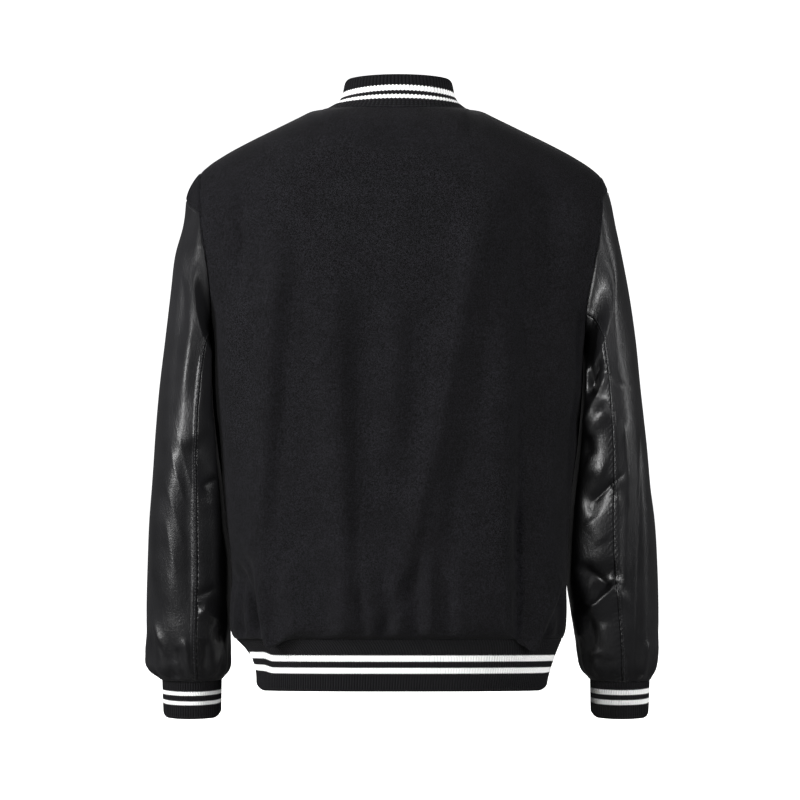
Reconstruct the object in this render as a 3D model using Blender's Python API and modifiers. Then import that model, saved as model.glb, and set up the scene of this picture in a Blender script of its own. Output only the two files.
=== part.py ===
"""Varsity jacket: wool melton body, leather sleeves, rib collar, cuffs and hem.

Metres, +Z up. The jacket hangs upright and hollow, as if on a body: its front faces -Y, its back +Y,
and the wearer's left side is +X. The origin is the middle of the neck opening, level with the neck seam.
Each cut piece is its own closed wall of cloth, 0.3 mm from the pieces that it is sewn to.
"""

from collections import namedtuple

import bmesh
import bpy
import numpy as np

# ---------------------------------------------------------------- driving sizes
WOOL_WALL = 0.0020
LEATHER_WALL = 0.0015
RIB_WALL = 0.0030
SEAM_GAP = 0.0003
LEFT, RIGHT = 1, -1
BACK, FRONT = 1, -1

# neck opening, measured along the neck seam
NECK_MIDDLE_X = 0.0045
NECK_HALF_WIDTH = 0.0835
NECK_BACK_Y = 0.062
NECK_FRONT_Y = 0.080
NECK_SIDE_Z = -0.0035
NECK_BACK_DROP = 0.0033
NECK_FRONT_DROP = 0.0815

# hem seam: a ring that tips down towards the front; the band below it draws in towards its folded edge
HEM_SEAM_Z = -0.618
HEM_TILT = 0.099
HEM_HEIGHT = 0.0584
HEM_DRAW_IN = {LEFT: 0.0265, RIGHT: 0.0142}
HEM_DRAW_BACK = 0.0060

# how far round its section the body's panel reaches at the shoulder; lower down it ends where the section
# meets the armhole seam, which it has come round to between these shares of the armhole's height
SHOULDER_FAN = 52.0
FAN_START = 0.10
FAN_END = 0.60
# the shares of the height in which the neck line spreads out to the section, and the shoulder rounds over
NECK_SPREAD = 0.22
SHOULDER_ROUNDING = 0.17
# the blouson's sag over the hem
SAG_START = 0.88
SAG_SIDE = {LEFT: 0.016, RIGHT: 0.013}
SAG_MIDDLE = 0.003

# front lap
LAP = 0.0125
LAP_GAP = 0.0006
LAP_FADE = 0.018
LAP_ACROSS = 0.035

# armhole ring, and the sleeve that grows out of it
ARMHOLE_DEPTH_Y = 0.064
UNDERARM_Z = -0.285
SLEEVE_TWIST = 36.0
SLEEVE_BOXINESS = 2.25
SLEEVE_ROUNDING = 0.033
SLEEVE_RADIUS = 0.055
SLEEVE_CLEARANCE = 0.0055
CAP_HEIGHT = {LEFT: 0.033, RIGHT: 0.018}
CAP_REACH = {LEFT: 60.0, RIGHT: 45.0}
CAP_TIP = 0.90
HEAD_LEAN = 0.9

# rib knit
HEM_RIBS = 316
CUFF_RIBS = 70
COLLAR_RIBS = 104
RIB_RELIEF = 0.0007
COLLAR_FRONT_GAP = 0.0012
CUFF_HEIGHT = 0.0440
CUFF_HALF_WIDTH = 0.0352
CUFF_HALF_DEPTH = 0.0320

# gathers
HEM_GATHERS = 34
HEM_GATHER_HEIGHT = 0.0010
HEM_GATHER_START = 0.82
HEM_GATHER_RISE = 0.12
CUFF_GATHERS = 12
CUFF_GATHER_HEIGHT = 0.0018
CUFF_GATHER_START = 0.600
CUFF_GATHER_RISE = 0.045
CUFF_GATHER_END = 0.667
CUFF_GATHER_FALL = 0.008
# how far (radians) either side of a sleeve seam the gathers stay calm, and where the creases have run out
SEAM_CALM = 0.25
CREASE_END = 0.655
CREASE_FADE = 0.030

# snap caps on the lap
SNAP_RADIUS = 0.0075
SNAP_HEIGHT = 0.0032
SNAP_COUNT = 7
SNAP_SIDES = 12
SNAP_FIRST_DROP = 0.016

Shoulder = namedtuple("Shoulder", "x z")
SHOULDER_POINT = {LEFT: Shoulder(0.2308, -0.0767), RIGHT: Shoulder(0.2325, -0.0811)}

# ---------------------------------------------------------------- tables
# the shoulder seam's fall from the neck point to the shoulder point
Fall = namedtuple("Fall", "share fall")
SHOULDER_LINE = (
    Fall(0.00, 0.000),
    Fall(0.10, 0.035),
    Fall(0.20, 0.128),
    Fall(0.40, 0.318),
    Fall(0.60, 0.508),
    Fall(0.80, 0.718),
    Fall(0.93, 0.884),
    Fall(1.00, 1.000),
)

# the body from the shoulder (0) to the hem seam (1): how far each side reaches from the middle, and how
# boxy its cross-section is (2 is a plain ellipse)
Body = namedtuple("Body", "share left right back front boxiness")
BODY = (
    Body(0.000, 0.2308, 0.2325, 0.062, 0.080, 2.3),
    Body(0.030, 0.2300, 0.2310, 0.080, 0.092, 2.3),
    Body(0.080, 0.2276, 0.2290, 0.098, 0.103, 2.3),
    Body(0.150, 0.2240, 0.2255, 0.113, 0.114, 2.3),
    Body(0.250, 0.2190, 0.2200, 0.124, 0.124, 2.5),
    Body(0.385, 0.2165, 0.2120, 0.131, 0.132, 3.1),
    Body(0.483, 0.2163, 0.2100, 0.131, 0.135, 2.8),
    Body(0.589, 0.2111, 0.2051, 0.129, 0.136, 2.5),
    Body(0.677, 0.2049, 0.1990, 0.128, 0.137, 2.4),
    Body(0.757, 0.2009, 0.1957, 0.127, 0.138, 2.3),
    Body(0.831, 0.1955, 0.1937, 0.127, 0.139, 2.3),
    Body(0.887, 0.1956, 0.1925, 0.128, 0.140, 2.3),
    Body(0.940, 0.1964, 0.1925, 0.129, 0.141, 2.3),
    Body(0.965, 0.1965, 0.1925, 0.129, 0.141, 2.3),
    Body(0.985, 0.1940, 0.1905, 0.126, 0.137, 2.3),
    Body(1.000, 0.1885, 0.1862, 0.118, 0.126, 2.3),
)

# the armhole seam, from the shoulder point (0) to the underarm (1)
Armhole = namedtuple("Armhole", "share left right")
ARMHOLE = (
    Armhole(0.00, 0.2308, 0.2325),
    Armhole(0.14, 0.2276, 0.2290),
    Armhole(0.25, 0.2252, 0.2266),
    Armhole(0.36, 0.2240, 0.2252),
    Armhole(0.45, 0.2212, 0.2225),
    Armhole(0.57, 0.2181, 0.2190),
    Armhole(0.75, 0.2153, 0.2128),
    Armhole(1.00, 0.2165, 0.2120),
)

# a sleeve at depths below the origin: its outer and inner reach, half its depth front to back, its middle y
Sleeve = namedtuple("Sleeve", "down outer inner half_depth middle_y")
SLEEVE = {
    LEFT: (
        Sleeve(0.080, 0.2462, 0.1800, 0.056, 0.000),
        Sleeve(0.110, 0.2474, 0.1790, 0.063, 0.000),
        Sleeve(0.131, 0.2492, 0.1780, 0.068, 0.000),
        Sleeve(0.173, 0.2592, 0.1770, 0.074, -0.001),
        Sleeve(0.215, 0.2645, 0.1800, 0.077, -0.002),
        Sleeve(0.270, 0.2714, 0.1880, 0.078, -0.003),
        Sleeve(0.326, 0.2784, 0.1960, 0.076, -0.004),
        Sleeve(0.382, 0.2836, 0.1980, 0.072, -0.006),
        Sleeve(0.437, 0.2878, 0.1970, 0.068, -0.012),
        Sleeve(0.479, 0.2919, 0.1960, 0.064, -0.018),
        Sleeve(0.535, 0.2951, 0.1950, 0.060, -0.026),
        Sleeve(0.577, 0.2970, 0.1960, 0.057, -0.032),
        Sleeve(0.618, 0.2978, 0.1985, 0.053, -0.038),
        Sleeve(0.638, 0.2985, 0.1990, 0.049, -0.041),
        Sleeve(0.656, 0.2960, 0.2005, 0.043, -0.043),
        Sleeve(0.669, 0.2815, 0.2090, 0.033, -0.044),
    ),
    RIGHT: (
        Sleeve(0.080, 0.2410, 0.1800, 0.056, 0.000),
        Sleeve(0.110, 0.2440, 0.1790, 0.063, 0.000),
        Sleeve(0.131, 0.2475, 0.1780, 0.068, 0.000),
        Sleeve(0.173, 0.2564, 0.1770, 0.074, -0.001),
        Sleeve(0.215, 0.2645, 0.1790, 0.077, -0.002),
        Sleeve(0.270, 0.2726, 0.1870, 0.078, -0.003),
        Sleeve(0.326, 0.2784, 0.1950, 0.076, -0.004),
        Sleeve(0.382, 0.2848, 0.1970, 0.072, -0.006),
        Sleeve(0.437, 0.2901, 0.1960, 0.068, -0.012),
        Sleeve(0.479, 0.2966, 0.1965, 0.064, -0.018),
        Sleeve(0.535, 0.3010, 0.1980, 0.060, -0.026),
        Sleeve(0.577, 0.3029, 0.2005, 0.057, -0.032),
        Sleeve(0.618, 0.3035, 0.2060, 0.053, -0.038),
        Sleeve(0.638, 0.3030, 0.2095, 0.049, -0.041),
        Sleeve(0.656, 0.3005, 0.2140, 0.043, -0.043),
        Sleeve(0.669, 0.2955, 0.2230, 0.033, -0.044),
    ),
}

# the collar from its seam (0) to its top edge (1), as a ring at each level
Collar = namedtuple("Collar", "share half_width middle_x back front side_z back_rise front_drop")
COLLAR = (
    Collar(0.00, 0.0835, 0.0045, 0.0620, 0.0800, -0.0035, -0.0033, 0.0815),
    Collar(0.35, 0.0700, 0.0022, 0.0535, 0.0790, 0.0090, -0.0010, 0.0780),
    Collar(1.00, 0.0622, 0.0017, 0.0470, 0.0735, 0.0300, 0.0020, 0.0680),
)

# soft ridges (+) and troughs (-) of the body, each along a line from its top to its foot
Fold = namedtuple("Fold", "face top_x top_z foot_x foot_z half_width height")
BODY_FOLDS = (
    Fold(BACK, 0.169, -0.119, 0.169, -0.188, 0.012, -0.0045),
    Fold(BACK, 0.135, -0.174, 0.152, -0.561, 0.022, 0.0055),
    Fold(BACK, 0.073, -0.197, 0.061, -0.588, 0.021, 0.0055),
    Fold(BACK, 0.002, -0.230, 0.011, -0.395, 0.015, 0.0028),
    Fold(BACK, -0.082, -0.147, -0.028, -0.506, 0.019, 0.0062),
    Fold(BACK, -0.115, -0.252, -0.117, -0.588, 0.018, 0.0050),
    Fold(BACK, -0.144, -0.230, -0.139, -0.561, 0.016, -0.0030),
    Fold(BACK, -0.160, -0.097, -0.148, -0.230, 0.030, -0.0060),
    Fold(BACK, 0.167, -0.517, 0.166, -0.601, 0.009, -0.0055),
    Fold(BACK, 0.117, -0.517, 0.115, -0.601, 0.012, 0.0038),
    Fold(BACK, -0.133, -0.456, -0.134, -0.601, 0.009, -0.0042),
    Fold(BACK, 0.189, -0.540, 0.178, -0.618, 0.008, -0.0050),
    Fold(BACK, -0.178, -0.540, -0.158, -0.616, 0.010, 0.0040),
    Fold(FRONT, 0.170, -0.150, 0.120, -0.330, 0.018, -0.0040),
    Fold(FRONT, -0.166, -0.145, -0.128, -0.350, 0.018, -0.0045),
    Fold(FRONT, 0.105, -0.400, 0.090, -0.600, 0.020, 0.0040),
    Fold(FRONT, -0.085, -0.380, -0.105, -0.600, 0.022, 0.0035),
    Fold(FRONT, 0.150, -0.520, 0.135, -0.616, 0.010, -0.0045),
    Fold(FRONT, -0.146, -0.530, -0.128, -0.616, 0.010, -0.0045),
)

# soft folds of a sleeve: a turn of 0 is its outer side, 90 its back, 180 its inner side, -90 its front
Crease = namedtuple("Crease", "start_turn start_down end_turn end_down half_width height")
SLEEVE_CREASES = {
    LEFT: (
        Crease(78.0, 0.190, 82.0, 0.330, 0.011, 0.0040),
        Crease(60.0, 0.200, 64.0, 0.360, 0.011, -0.0030),
        Crease(100.0, 0.390, 125.0, 0.450, 0.014, -0.0050),
        Crease(40.0, 0.420, 46.0, 0.560, 0.015, 0.0035),
        Crease(-70.0, 0.400, -130.0, 0.450, 0.015, -0.0060),
        Crease(-60.0, 0.350, -120.0, 0.370, 0.014, -0.0050),
    ),
    RIGHT: (
        Crease(105.0, 0.265, 112.0, 0.345, 0.014, -0.0060),
        Crease(96.0, 0.350, 132.0, 0.375, 0.012, 0.0045),
        Crease(88.0, 0.440, 125.0, 0.462, 0.013, -0.0050),
        Crease(84.0, 0.560, 128.0, 0.585, 0.014, 0.0055),
        Crease(86.0, 0.535, 130.0, 0.550, 0.012, -0.0055),
        Crease(-70.0, 0.395, -130.0, 0.445, 0.015, -0.0060),
        Crease(-62.0, 0.345, -122.0, 0.370, 0.014, -0.0050),
    ),
}

# ---------------------------------------------------------------- where the grids have their lines
ARMHOLE_KNOTS = (0.0, 30.0, 60.0, 92.0, 126.0, 154.0, 180.0)
NECK_COLUMNS = 9
SHOULDER_COLUMNS = 17
LOWER_BODY_ROWS = (0.48, 0.60, 0.72, 0.82, 0.90, 0.945, 0.97, 0.987, 1.0)
SLEEVE_ROWS = (0.0, 0.004, 0.025, 0.07, 0.15, 0.25, 0.35, 0.46, 0.57, 0.68, 0.78, 0.87, 0.93, 0.965, 1.0)
CAP_ROWS = (0.0, 0.34, 0.67, 1.0)
BACK_SEAM_ANGLE = {LEFT: 140.0, RIGHT: 126.0}
FRONT_SEAM_ANGLE = -154.0

# ---------------------------------------------------------------- finishes
Finish = namedtuple("Finish", "colour roughness metallic")
FINISHES = {
    "black_wool": Finish((0.012, 0.012, 0.013), 0.95, 0.0),
    "black_leather": Finish((0.008, 0.008, 0.009), 0.32, 0.0),
    "black_rib": Finish((0.010, 0.010, 0.011), 0.90, 0.0),
    "black_snap": Finish((0.015, 0.015, 0.016), 0.35, 0.6),
}


# ---------------------------------------------------------------- helpers
def read(table, column, at):
    """The smooth curve through one column of a table, against the table's first column."""
    places = np.array([row[0] for row in table], dtype=float)
    values = np.array([getattr(row, column) for row in table], dtype=float)
    slopes = np.gradient(values, places)
    at = np.clip(at, places[0], places[-1])
    index = np.clip(np.searchsorted(places, at, side="right") - 1, 0, len(places) - 2)
    step = places[index + 1] - places[index]
    share = (at - places[index]) / step
    start = values[index] * (1 + 2 * share) + slopes[index] * step * share
    end = values[index + 1] * (3 - 2 * share) - slopes[index + 1] * step * (1 - share)
    return start * (1 - share) ** 2 + end * share**2


def ease(share):
    """A ramp from 0 to 1 that starts and ends softly."""
    share = np.clip(share, 0.0, 1.0)
    return share * share * (3 - 2 * share)


def round_over(share):
    """A quarter circle: rises at once, then levels out at 1."""
    return np.sqrt(np.maximum(0.0, 1 - (1 - np.clip(share, 0.0, 1.0)) ** 2))


def unit(vectors):
    return vectors / np.linalg.norm(vectors, axis=-1, keepdims=True)


def boxy(sine, boxiness):
    """How deep an ellipse made boxy still is, where it has come sideways by `sine` of its half width."""
    sideways = np.minimum(np.abs(sine), 1.0)
    return (1 - sideways**boxiness) ** (1 / boxiness)


def ridge(distance, along, fold):
    """The height of a soft fold, `distance` off its line and `along` of the way down it."""
    across = np.exp(-((distance / fold.half_width) ** 2))
    ends = ease((along + 0.15) / 0.3) * ease((1.15 - along) / 0.3)
    return fold.height * across * ends


def off_line(x, z, start, end):
    """Distance from the line start-end and the share of the way along it, in a plane."""
    run = np.array(end) - np.array(start)
    length = np.hypot(*run)
    along = ((x - start[0]) * run[0] + (z - start[1]) * run[1]) / length**2
    distance = ((x - start[0]) * run[1] - (z - start[1]) * run[0]) / length
    return distance, along


# ---------------------------------------------------------------- the body
NECK_SHARE = NECK_COLUMNS / (NECK_COLUMNS + SHOULDER_COLUMNS)


def body_reach(share, side):
    """How far the body reaches sideways at a share of its height: the armhole above, the side seam below."""
    shoulder = SHOULDER_POINT[side]
    name = "left" if side == LEFT else "right"
    down = shoulder.z - body_side_z(share, side)
    armhole = read(ARMHOLE, name, down / (shoulder.z - UNDERARM_Z))
    return np.where(share < underarm_share(side), armhole, read(BODY, name, share))


def body_side_z(share, side):
    return SHOULDER_POINT[side].z + (HEM_SEAM_Z - SHOULDER_POINT[side].z) * share


def underarm_share(side):
    top = SHOULDER_POINT[side].z
    return (top - UNDERARM_Z) / (top - HEM_SEAM_Z)


def armhole_edge_y(share, side):
    """How far the armhole seam stands behind (or before) the side of the body."""
    middle = underarm_share(side) / 2
    return ARMHOLE_DEPTH_Y * np.sqrt(np.maximum(0.0, 1 - ((share - middle) / middle) ** 2))


def hem_seam_half(side):
    return read(BODY, "left" if side == LEFT else "right", 1.0)


def top_line(across, face, side):
    """The neck seam, then the shoulder seam: x, y and z where `across` is 0 in the middle, 1 at the tip."""
    turn = np.radians(90) * np.clip(across / NECK_SHARE, -1, 1)
    neck_y = NECK_BACK_Y if face == BACK else NECK_FRONT_Y
    neck_z = NECK_BACK_DROP if face == BACK else NECK_FRONT_DROP
    x = NECK_HALF_WIDTH * np.sin(turn) + side * NECK_MIDDLE_X
    y = neck_y * np.cos(turn)
    z = NECK_SIDE_Z - neck_z * np.cos(turn)
    share = np.clip((across - NECK_SHARE) / (1 - NECK_SHARE), 0, 1)
    tip = SHOULDER_POINT[side]
    neck_x = NECK_HALF_WIDTH + side * NECK_MIDDLE_X
    x = np.where(share > 0, neck_x + (tip.x - neck_x) * share, x)
    z = np.where(share > 0, NECK_SIDE_Z + (tip.z - NECK_SIDE_Z) * read(SHOULDER_LINE, "fall", share), z)
    return x, np.where(share > 0, 0.0, y), z


def fan_angle(share, face, side):
    """How far round a section the panel reaches: short of the side at the armhole, 90 degrees below it."""
    opened = ease((share / underarm_share(side) - FAN_START) / (FAN_END - FAN_START))
    boxiness = read(BODY, "boxiness", share)
    rim = armhole_edge_y(share, side) / read(BODY, "back" if face == BACK else "front", share)
    met = np.arcsin((1 - np.minimum(rim, 1.0) ** boxiness) ** (1 / boxiness))
    return np.radians(SHOULDER_FAN) * (1 - opened) + met * opened


def body_point(across, share, face, side):
    """Points on the body's outer face for one side, x counted outwards from the middle."""
    top_x, top_y, top_z = top_line(across, face, side)
    fan = fan_angle(share, face, side)
    angle = fan * across
    reach = body_reach(share, side)
    depth = read(BODY, "back" if face == BACK else "front", share)
    edge_y = armhole_edge_y(share, side)
    spread = ease(share / NECK_SPREAD)
    middle_x = side * NECK_MIDDLE_X * (1 - spread) * np.clip(1 - across, 0, 1)
    x = top_x + (reach * np.sin(angle) / np.sin(fan) + middle_x - top_x) * spread
    x = np.where(across >= 1, reach, x)
    boxiness = read(BODY, "boxiness", share)
    rim = boxy(np.sin(fan), boxiness)
    full = (boxy(np.sin(angle), boxiness) - rim) / (1 - rim)
    neck_y = NECK_BACK_Y if face == BACK else NECK_FRONT_Y
    over = round_over(share / SHOULDER_ROUNDING)
    y = edge_y + (depth - edge_y) * (top_y / neck_y * (1 - over) + full * over)
    seam_y = depth_at_seam(np.radians(90) * across, face)
    bottom_z = HEM_SEAM_Z + HEM_TILT * seam_y * face
    sag = SAG_MIDDLE + (SAG_SIDE[side] - SAG_MIDDLE) * np.sin(angle) ** 4
    hung = np.clip((share - SAG_START) / (1 - SAG_START), 0, 1)
    droop = sag * np.sin(np.pi * hung**2)
    z = top_z + (bottom_z - top_z) * share - droop
    return x * side, y * face, z


def depth_at_seam(angle, face):
    deepest = read(BODY, "back" if face == BACK else "front", 1.0)
    return deepest * boxy(np.sin(angle), BODY[-1].boxiness)


def body_relief(x, z, share, angle, face):
    """Outward shift of the body's face: its folds and the gathers above the hem."""
    height = np.zeros_like(x)
    for fold in BODY_FOLDS:
        if fold.face == face:
            place = off_line(x, z, (fold.top_x, fold.top_z), (fold.foot_x, fold.foot_z))
            height = height + ridge(*place, fold)
    waves = np.cos(HEM_GATHERS * angle + 1.7 * np.sin(3 * angle))
    height = height + HEM_GATHER_HEIGHT * waves * ease((share - HEM_GATHER_START) / HEM_GATHER_RISE)
    near_seams = ease((1.0 - share) / 0.03) * ease(share / 0.10)
    near_lap = ease((np.abs(x) - 0.025) / 0.02) if face == FRONT else 1.0
    return height * near_seams * near_lap


def body_side_x(y, z, side):
    """How far the body reaches sideways at a given depth y, for the sleeve to stay clear of."""
    top = SHOULDER_POINT[side].z
    share = np.clip((top - z) / (top - HEM_SEAM_Z), underarm_share(side), 0.94)
    half = read(BODY, "left" if side == LEFT else "right", share)
    depth = np.where(y >= 0, read(BODY, "back", share), read(BODY, "front", share))
    return half * boxy(y / depth, read(BODY, "boxiness", share))


# ---------------------------------------------------------------- the sleeves
def armhole_ring(angle, side):
    """Points on the armhole seam: an angle of 0 is the shoulder, 180 the underarm, positive at the back."""
    top = SHOULDER_POINT[side].z
    middle = (top + UNDERARM_Z) / 2
    z = middle + (top - UNDERARM_Z) / 2 * np.cos(np.radians(angle))
    y = ARMHOLE_DEPTH_Y * np.sin(np.radians(angle))
    x = read(ARMHOLE, "left" if side == LEFT else "right", (top - z) / (top - UNDERARM_Z))
    return x, y, z


def armhole_edge(angle, side):
    """The armhole seam as the straight runs between its knots, which both neighbours share."""
    knots = np.array(ARMHOLE_KNOTS)
    ring = armhole_ring(knots, side)
    x, y, z = (np.interp(np.abs(angle), knots, values) for values in ring)
    return x, y * np.sign(angle), z


def turn_of(angle):
    """The sleeve's turn (0 outer, 90 back, 180 inner) that grows from an armhole angle."""
    turns = np.linspace(-180, 180, 721)
    return np.interp(angle, turns + SLEEVE_TWIST * np.sin(np.radians(turns)), turns)


def cap_share(angle, side):
    """The share of the sleeve's fall that its wool cap covers."""
    full = CAP_HEIGHT[side] / (SLEEVE[side][-1].down + SHOULDER_POINT[side].z)
    return full * np.maximum(0.0, 1 - (np.abs(angle) / CAP_REACH[side]) ** 1.6)


def sleeve_point(angle, fall, side):
    """Points on a sleeve's outer face, x counted outwards: `fall` is 0 at the armhole, 1 at the cuff."""
    edge_x, edge_y, edge_z = armhole_edge(angle, side)
    table = SLEEVE[side]
    z = edge_z + (-table[-1].down - edge_z) * fall
    turn = np.radians(turn_of(angle))
    outer, inner = read(table, "outer", -z), read(table, "inner", -z)
    depth, middle_y = read(table, "half_depth", -z), read(table, "middle_y", -z)
    size = (np.abs(np.cos(turn)) ** SLEEVE_BOXINESS + np.abs(np.sin(turn)) ** SLEEVE_BOXINESS) ** (
        -1 / SLEEVE_BOXINESS
    )
    full_x = (outer + inner) / 2 + (outer - inner) / 2 * np.cos(turn) * size
    full_y = middle_y + depth * np.sin(turn) * size
    grown = (edge_z - z) / SLEEVE_ROUNDING
    at_top = np.clip(np.cos(turn), 0, 1) ** 2
    swell = round_over(grown) * (1 - at_top) + (1 - (1 - np.clip(grown, 0, 1)) ** 2) * at_top
    x = edge_x + (full_x - edge_x) * swell
    y = edge_y + (full_y - edge_y) * ease(grown / 2.5)
    relief = sleeve_relief(turn, z, side) * ease(grown / 1.5)
    x = x + relief * np.cos(turn)
    y = y + relief * np.sin(turn)
    wall = body_side_x(y, z, side) + SLEEVE_CLEARANCE * round_over(grown)
    return np.where(grown > 0, np.maximum(x, wall), x) * side, y, z


def sleeve_relief(turn, z, side):
    """Outward shift of a sleeve: its creases and the gathers above the cuff."""
    height = np.zeros_like(z + turn)
    for crease in SLEEVE_CREASES[side]:
        start = (np.radians(crease.start_turn) * SLEEVE_RADIUS, -crease.start_down)
        end = (np.radians(crease.end_turn) * SLEEVE_RADIUS, -crease.end_down)
        height = height + ridge(*off_line(turn * SLEEVE_RADIUS, z, start, end), crease)
    down = -z
    waves = np.cos(CUFF_GATHERS * turn + 1.3 * np.sin(2 * turn))
    for seam in (BACK_SEAM_ANGLE[side], FRONT_SEAM_ANGLE):
        waves = waves * (1 - np.exp(-(((turn - np.radians(turn_of(seam))) / SEAM_CALM) ** 2)))
    swell = ease((down - CUFF_GATHER_START) / CUFF_GATHER_RISE)
    swell = swell * ease((CUFF_GATHER_END - down) / CUFF_GATHER_FALL)
    return height * ease((CREASE_END - down) / CREASE_FADE) + CUFF_GATHER_HEIGHT * waves * swell


# ---------------------------------------------------------------- meshes
def clear_scene():
    for item in list(bpy.data.objects):
        bpy.data.objects.remove(item, do_unlink=True)


def make_material(name):
    finish = FINISHES[name]
    material = bpy.data.materials.new(name)
    material.use_nodes = True
    shader = material.node_tree.nodes["Principled BSDF"]
    shader.inputs["Base Color"].default_value = (*finish.colour, 1.0)
    shader.inputs["Roughness"].default_value = finish.roughness
    shader.inputs["Metallic"].default_value = finish.metallic
    material.diffuse_color = (*finish.colour, 1.0)
    return material


def add_object(name, shape, material):
    """Put a bmesh in the jacket's collection as a named, smooth object."""
    mesh = bpy.data.meshes.new(name)
    shape.to_mesh(mesh)
    shape.free()
    mesh.shade_smooth()
    mesh.set_sharp_from_angle(angle=np.radians(50))
    mesh.materials.append(MATERIALS[material])
    item = bpy.data.objects.new(name, mesh)
    JACKET.objects.link(item)
    return item


def pull_in(points, sides):
    """Draw the named borders of a grid of points in by half the seam gap, square to each border."""
    points = points.copy()
    lines = {"top": (0, 1), "foot": (-1, -2), "start": (0, 1), "end": (-1, -2)}
    for side in sides:
        grid = points if side in ("top", "foot") else points.swapaxes(0, 1)
        rim, inner = lines[side]
        along = unit(np.gradient(grid[rim], axis=0))
        step = grid[inner] - grid[rim]
        step -= along * np.sum(step * along, axis=1, keepdims=True)
        grid[rim] += unit(step) * SEAM_GAP / 2
    return points


def grid_normals(points, turned, closed=False):
    """Unit vectors that point out of a grid of points, from its own rows and columns."""
    if closed:
        across = np.roll(points, -1, axis=1) - np.roll(points, 1, axis=1)
    else:
        across = np.gradient(points, axis=1)
    return unit(turned * np.cross(across, np.gradient(points, axis=0)))


def grid_faces(shape, points, flip):
    """Faces between the rows and columns of a grid of points; returns its vertices by row."""
    verts = [[shape.verts.new(point) for point in row] for row in points]
    for upper, lower in zip(verts[:-1], verts[1:]):
        for column in range(len(upper) - 1):
            corners = [upper[column], upper[column + 1], lower[column + 1], lower[column]]
            shape.faces.new(corners[::-1] if flip else corners)
    return verts


def border(verts):
    """The vertices round the edge of a grid, in order."""
    right = [row[-1] for row in verts[1:-1]]
    left = [row[0] for row in verts[-2:0:-1]]
    return verts[0] + right + verts[-1][::-1] + left


def add_wall(name, points, normals, material, wall):
    """One cut piece: a wall between a grid of outer points and the same grid moved inwards."""
    shape = bmesh.new()
    outer = border(grid_faces(shape, points, False))
    inner = border(grid_faces(shape, points - normals * wall, True))
    for index in range(len(outer)):
        after = (index + 1) % len(outer)
        shape.faces.new([outer[after], outer[index], inner[index], inner[after]])
    bmesh.ops.recalc_face_normals(shape, faces=shape.faces[:])
    return add_object(name, shape, material)


# ---------------------------------------------------------------- pieces
def body_columns():
    neck = np.linspace(0, NECK_SHARE, NECK_COLUMNS + 1)
    shoulder = np.linspace(NECK_SHARE, 1, SHOULDER_COLUMNS + 1)
    return np.concatenate([neck, shoulder[1:]])


def body_rows(side):
    """Rows that meet the armhole seam at its knots, then the rows below the underarm."""
    knots = np.array(ARMHOLE_KNOTS)
    upper = underarm_share(side) * (1 - np.cos(np.radians(knots))) / 2
    return np.concatenate([upper, LOWER_BODY_ROWS])


def body_half(columns, face, side):
    """A grid of one side of the back or front, its columns from the middle outwards."""
    across, share = np.meshgrid(columns, body_rows(side))
    x, y, z = body_point(across, share, face, side)
    angle = fan_angle(share, face, side) * across * side
    relief = body_relief(x, z, share, angle if face == BACK else np.pi - angle, face)
    relief = relief * np.clip((1.0 - across) / 0.12, 0, 1)
    out = np.stack([0.45 * np.sin(angle), face * np.cos(angle), np.zeros_like(x)], axis=-1)
    points = np.stack([x, y, z], axis=-1) + unit(out) * relief[..., None]
    at_side = across >= 1
    points[..., 1] = np.where(at_side & (share >= underarm_share(side) - 1e-9), 0.0, points[..., 1])
    return points


def seam_normals(normals, share, across, side):
    """The same directions for the rims of both pieces at the shoulder, the side and the armhole's head."""
    normals = normals.copy()
    at_side = (across >= 1) & (share >= underarm_share(side) - 1e-9)
    at_shoulder = (share <= 0) & (across >= NECK_SHARE - 1e-9)
    normals[at_side | at_shoulder, 1] = 0.0
    rows = range(len(ARMHOLE_KNOTS))
    for row, angle in zip(rows, ARMHOLE_KNOTS):
        if angle <= CAP_REACH[side]:
            face = np.sign(normals[row + 1, -1, 1])
            normals[row, -1] = armhole_normal(angle * face, side)
    return unit(normals)


def armhole_normal(angle, side):
    """Out of the armhole seam's head, between the body's face and the sleeve's."""
    tilt = np.radians(angle)
    return unit(np.array([HEAD_LEAN * np.cos(tilt) ** 2 * side, np.sin(tilt), np.cos(tilt)]))


def half_normals(points, columns, face, side):
    across, share = np.meshgrid(columns, body_rows(side))
    return seam_normals(grid_normals(points, side * face), share, across, side)


def add_back():
    columns = body_columns()
    grids, normals = {}, {}
    for side in (LEFT, RIGHT):
        grids[side] = body_half(columns, BACK, side)
        normals[side] = half_normals(grids[side], columns, BACK, side)
    middle = (grids[LEFT][:, :1] + grids[RIGHT][:, :1]) / 2
    middle_normal = unit(normals[LEFT][:, :1] + normals[RIGHT][:, :1])
    points = np.concatenate([grids[RIGHT][:, :0:-1], middle, grids[LEFT][:, 1:]], axis=1)
    out = np.concatenate([normals[RIGHT][:, :0:-1], middle_normal, normals[LEFT][:, 1:]], axis=1)
    add_wall("back", pull_in(points, ("top", "foot", "start", "end")), out, "black_wool", WOOL_WALL)


def front_columns():
    return np.concatenate([[-LAP_ACROSS, -LAP_ACROSS / 2], body_columns()])


def front_half(side):
    """A grid of one front, from its edge past the middle, where the fronts lap, out to the side."""
    points = body_half(front_columns(), FRONT, side)
    for index, share in ((0, 1.0), (1, 0.5)):
        points[:, index, 0] = points[:, 2, 0] - share * LAP * side
    if side == RIGHT:
        under = 1 - ease((-points[..., 0] - LAP) / LAP_FADE)
        tuck = grid_normals(points, 1) * (WOOL_WALL + LAP_GAP) * under[..., None]
        points -= tuck
    return points


def add_front(side):
    points = front_half(side)
    normals = half_normals(points, front_columns(), FRONT, side)
    name = "front_left" if side == LEFT else "front_right"
    add_wall(name, pull_in(points, ("top", "foot", "end")), normals, "black_wool", WOOL_WALL)


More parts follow.
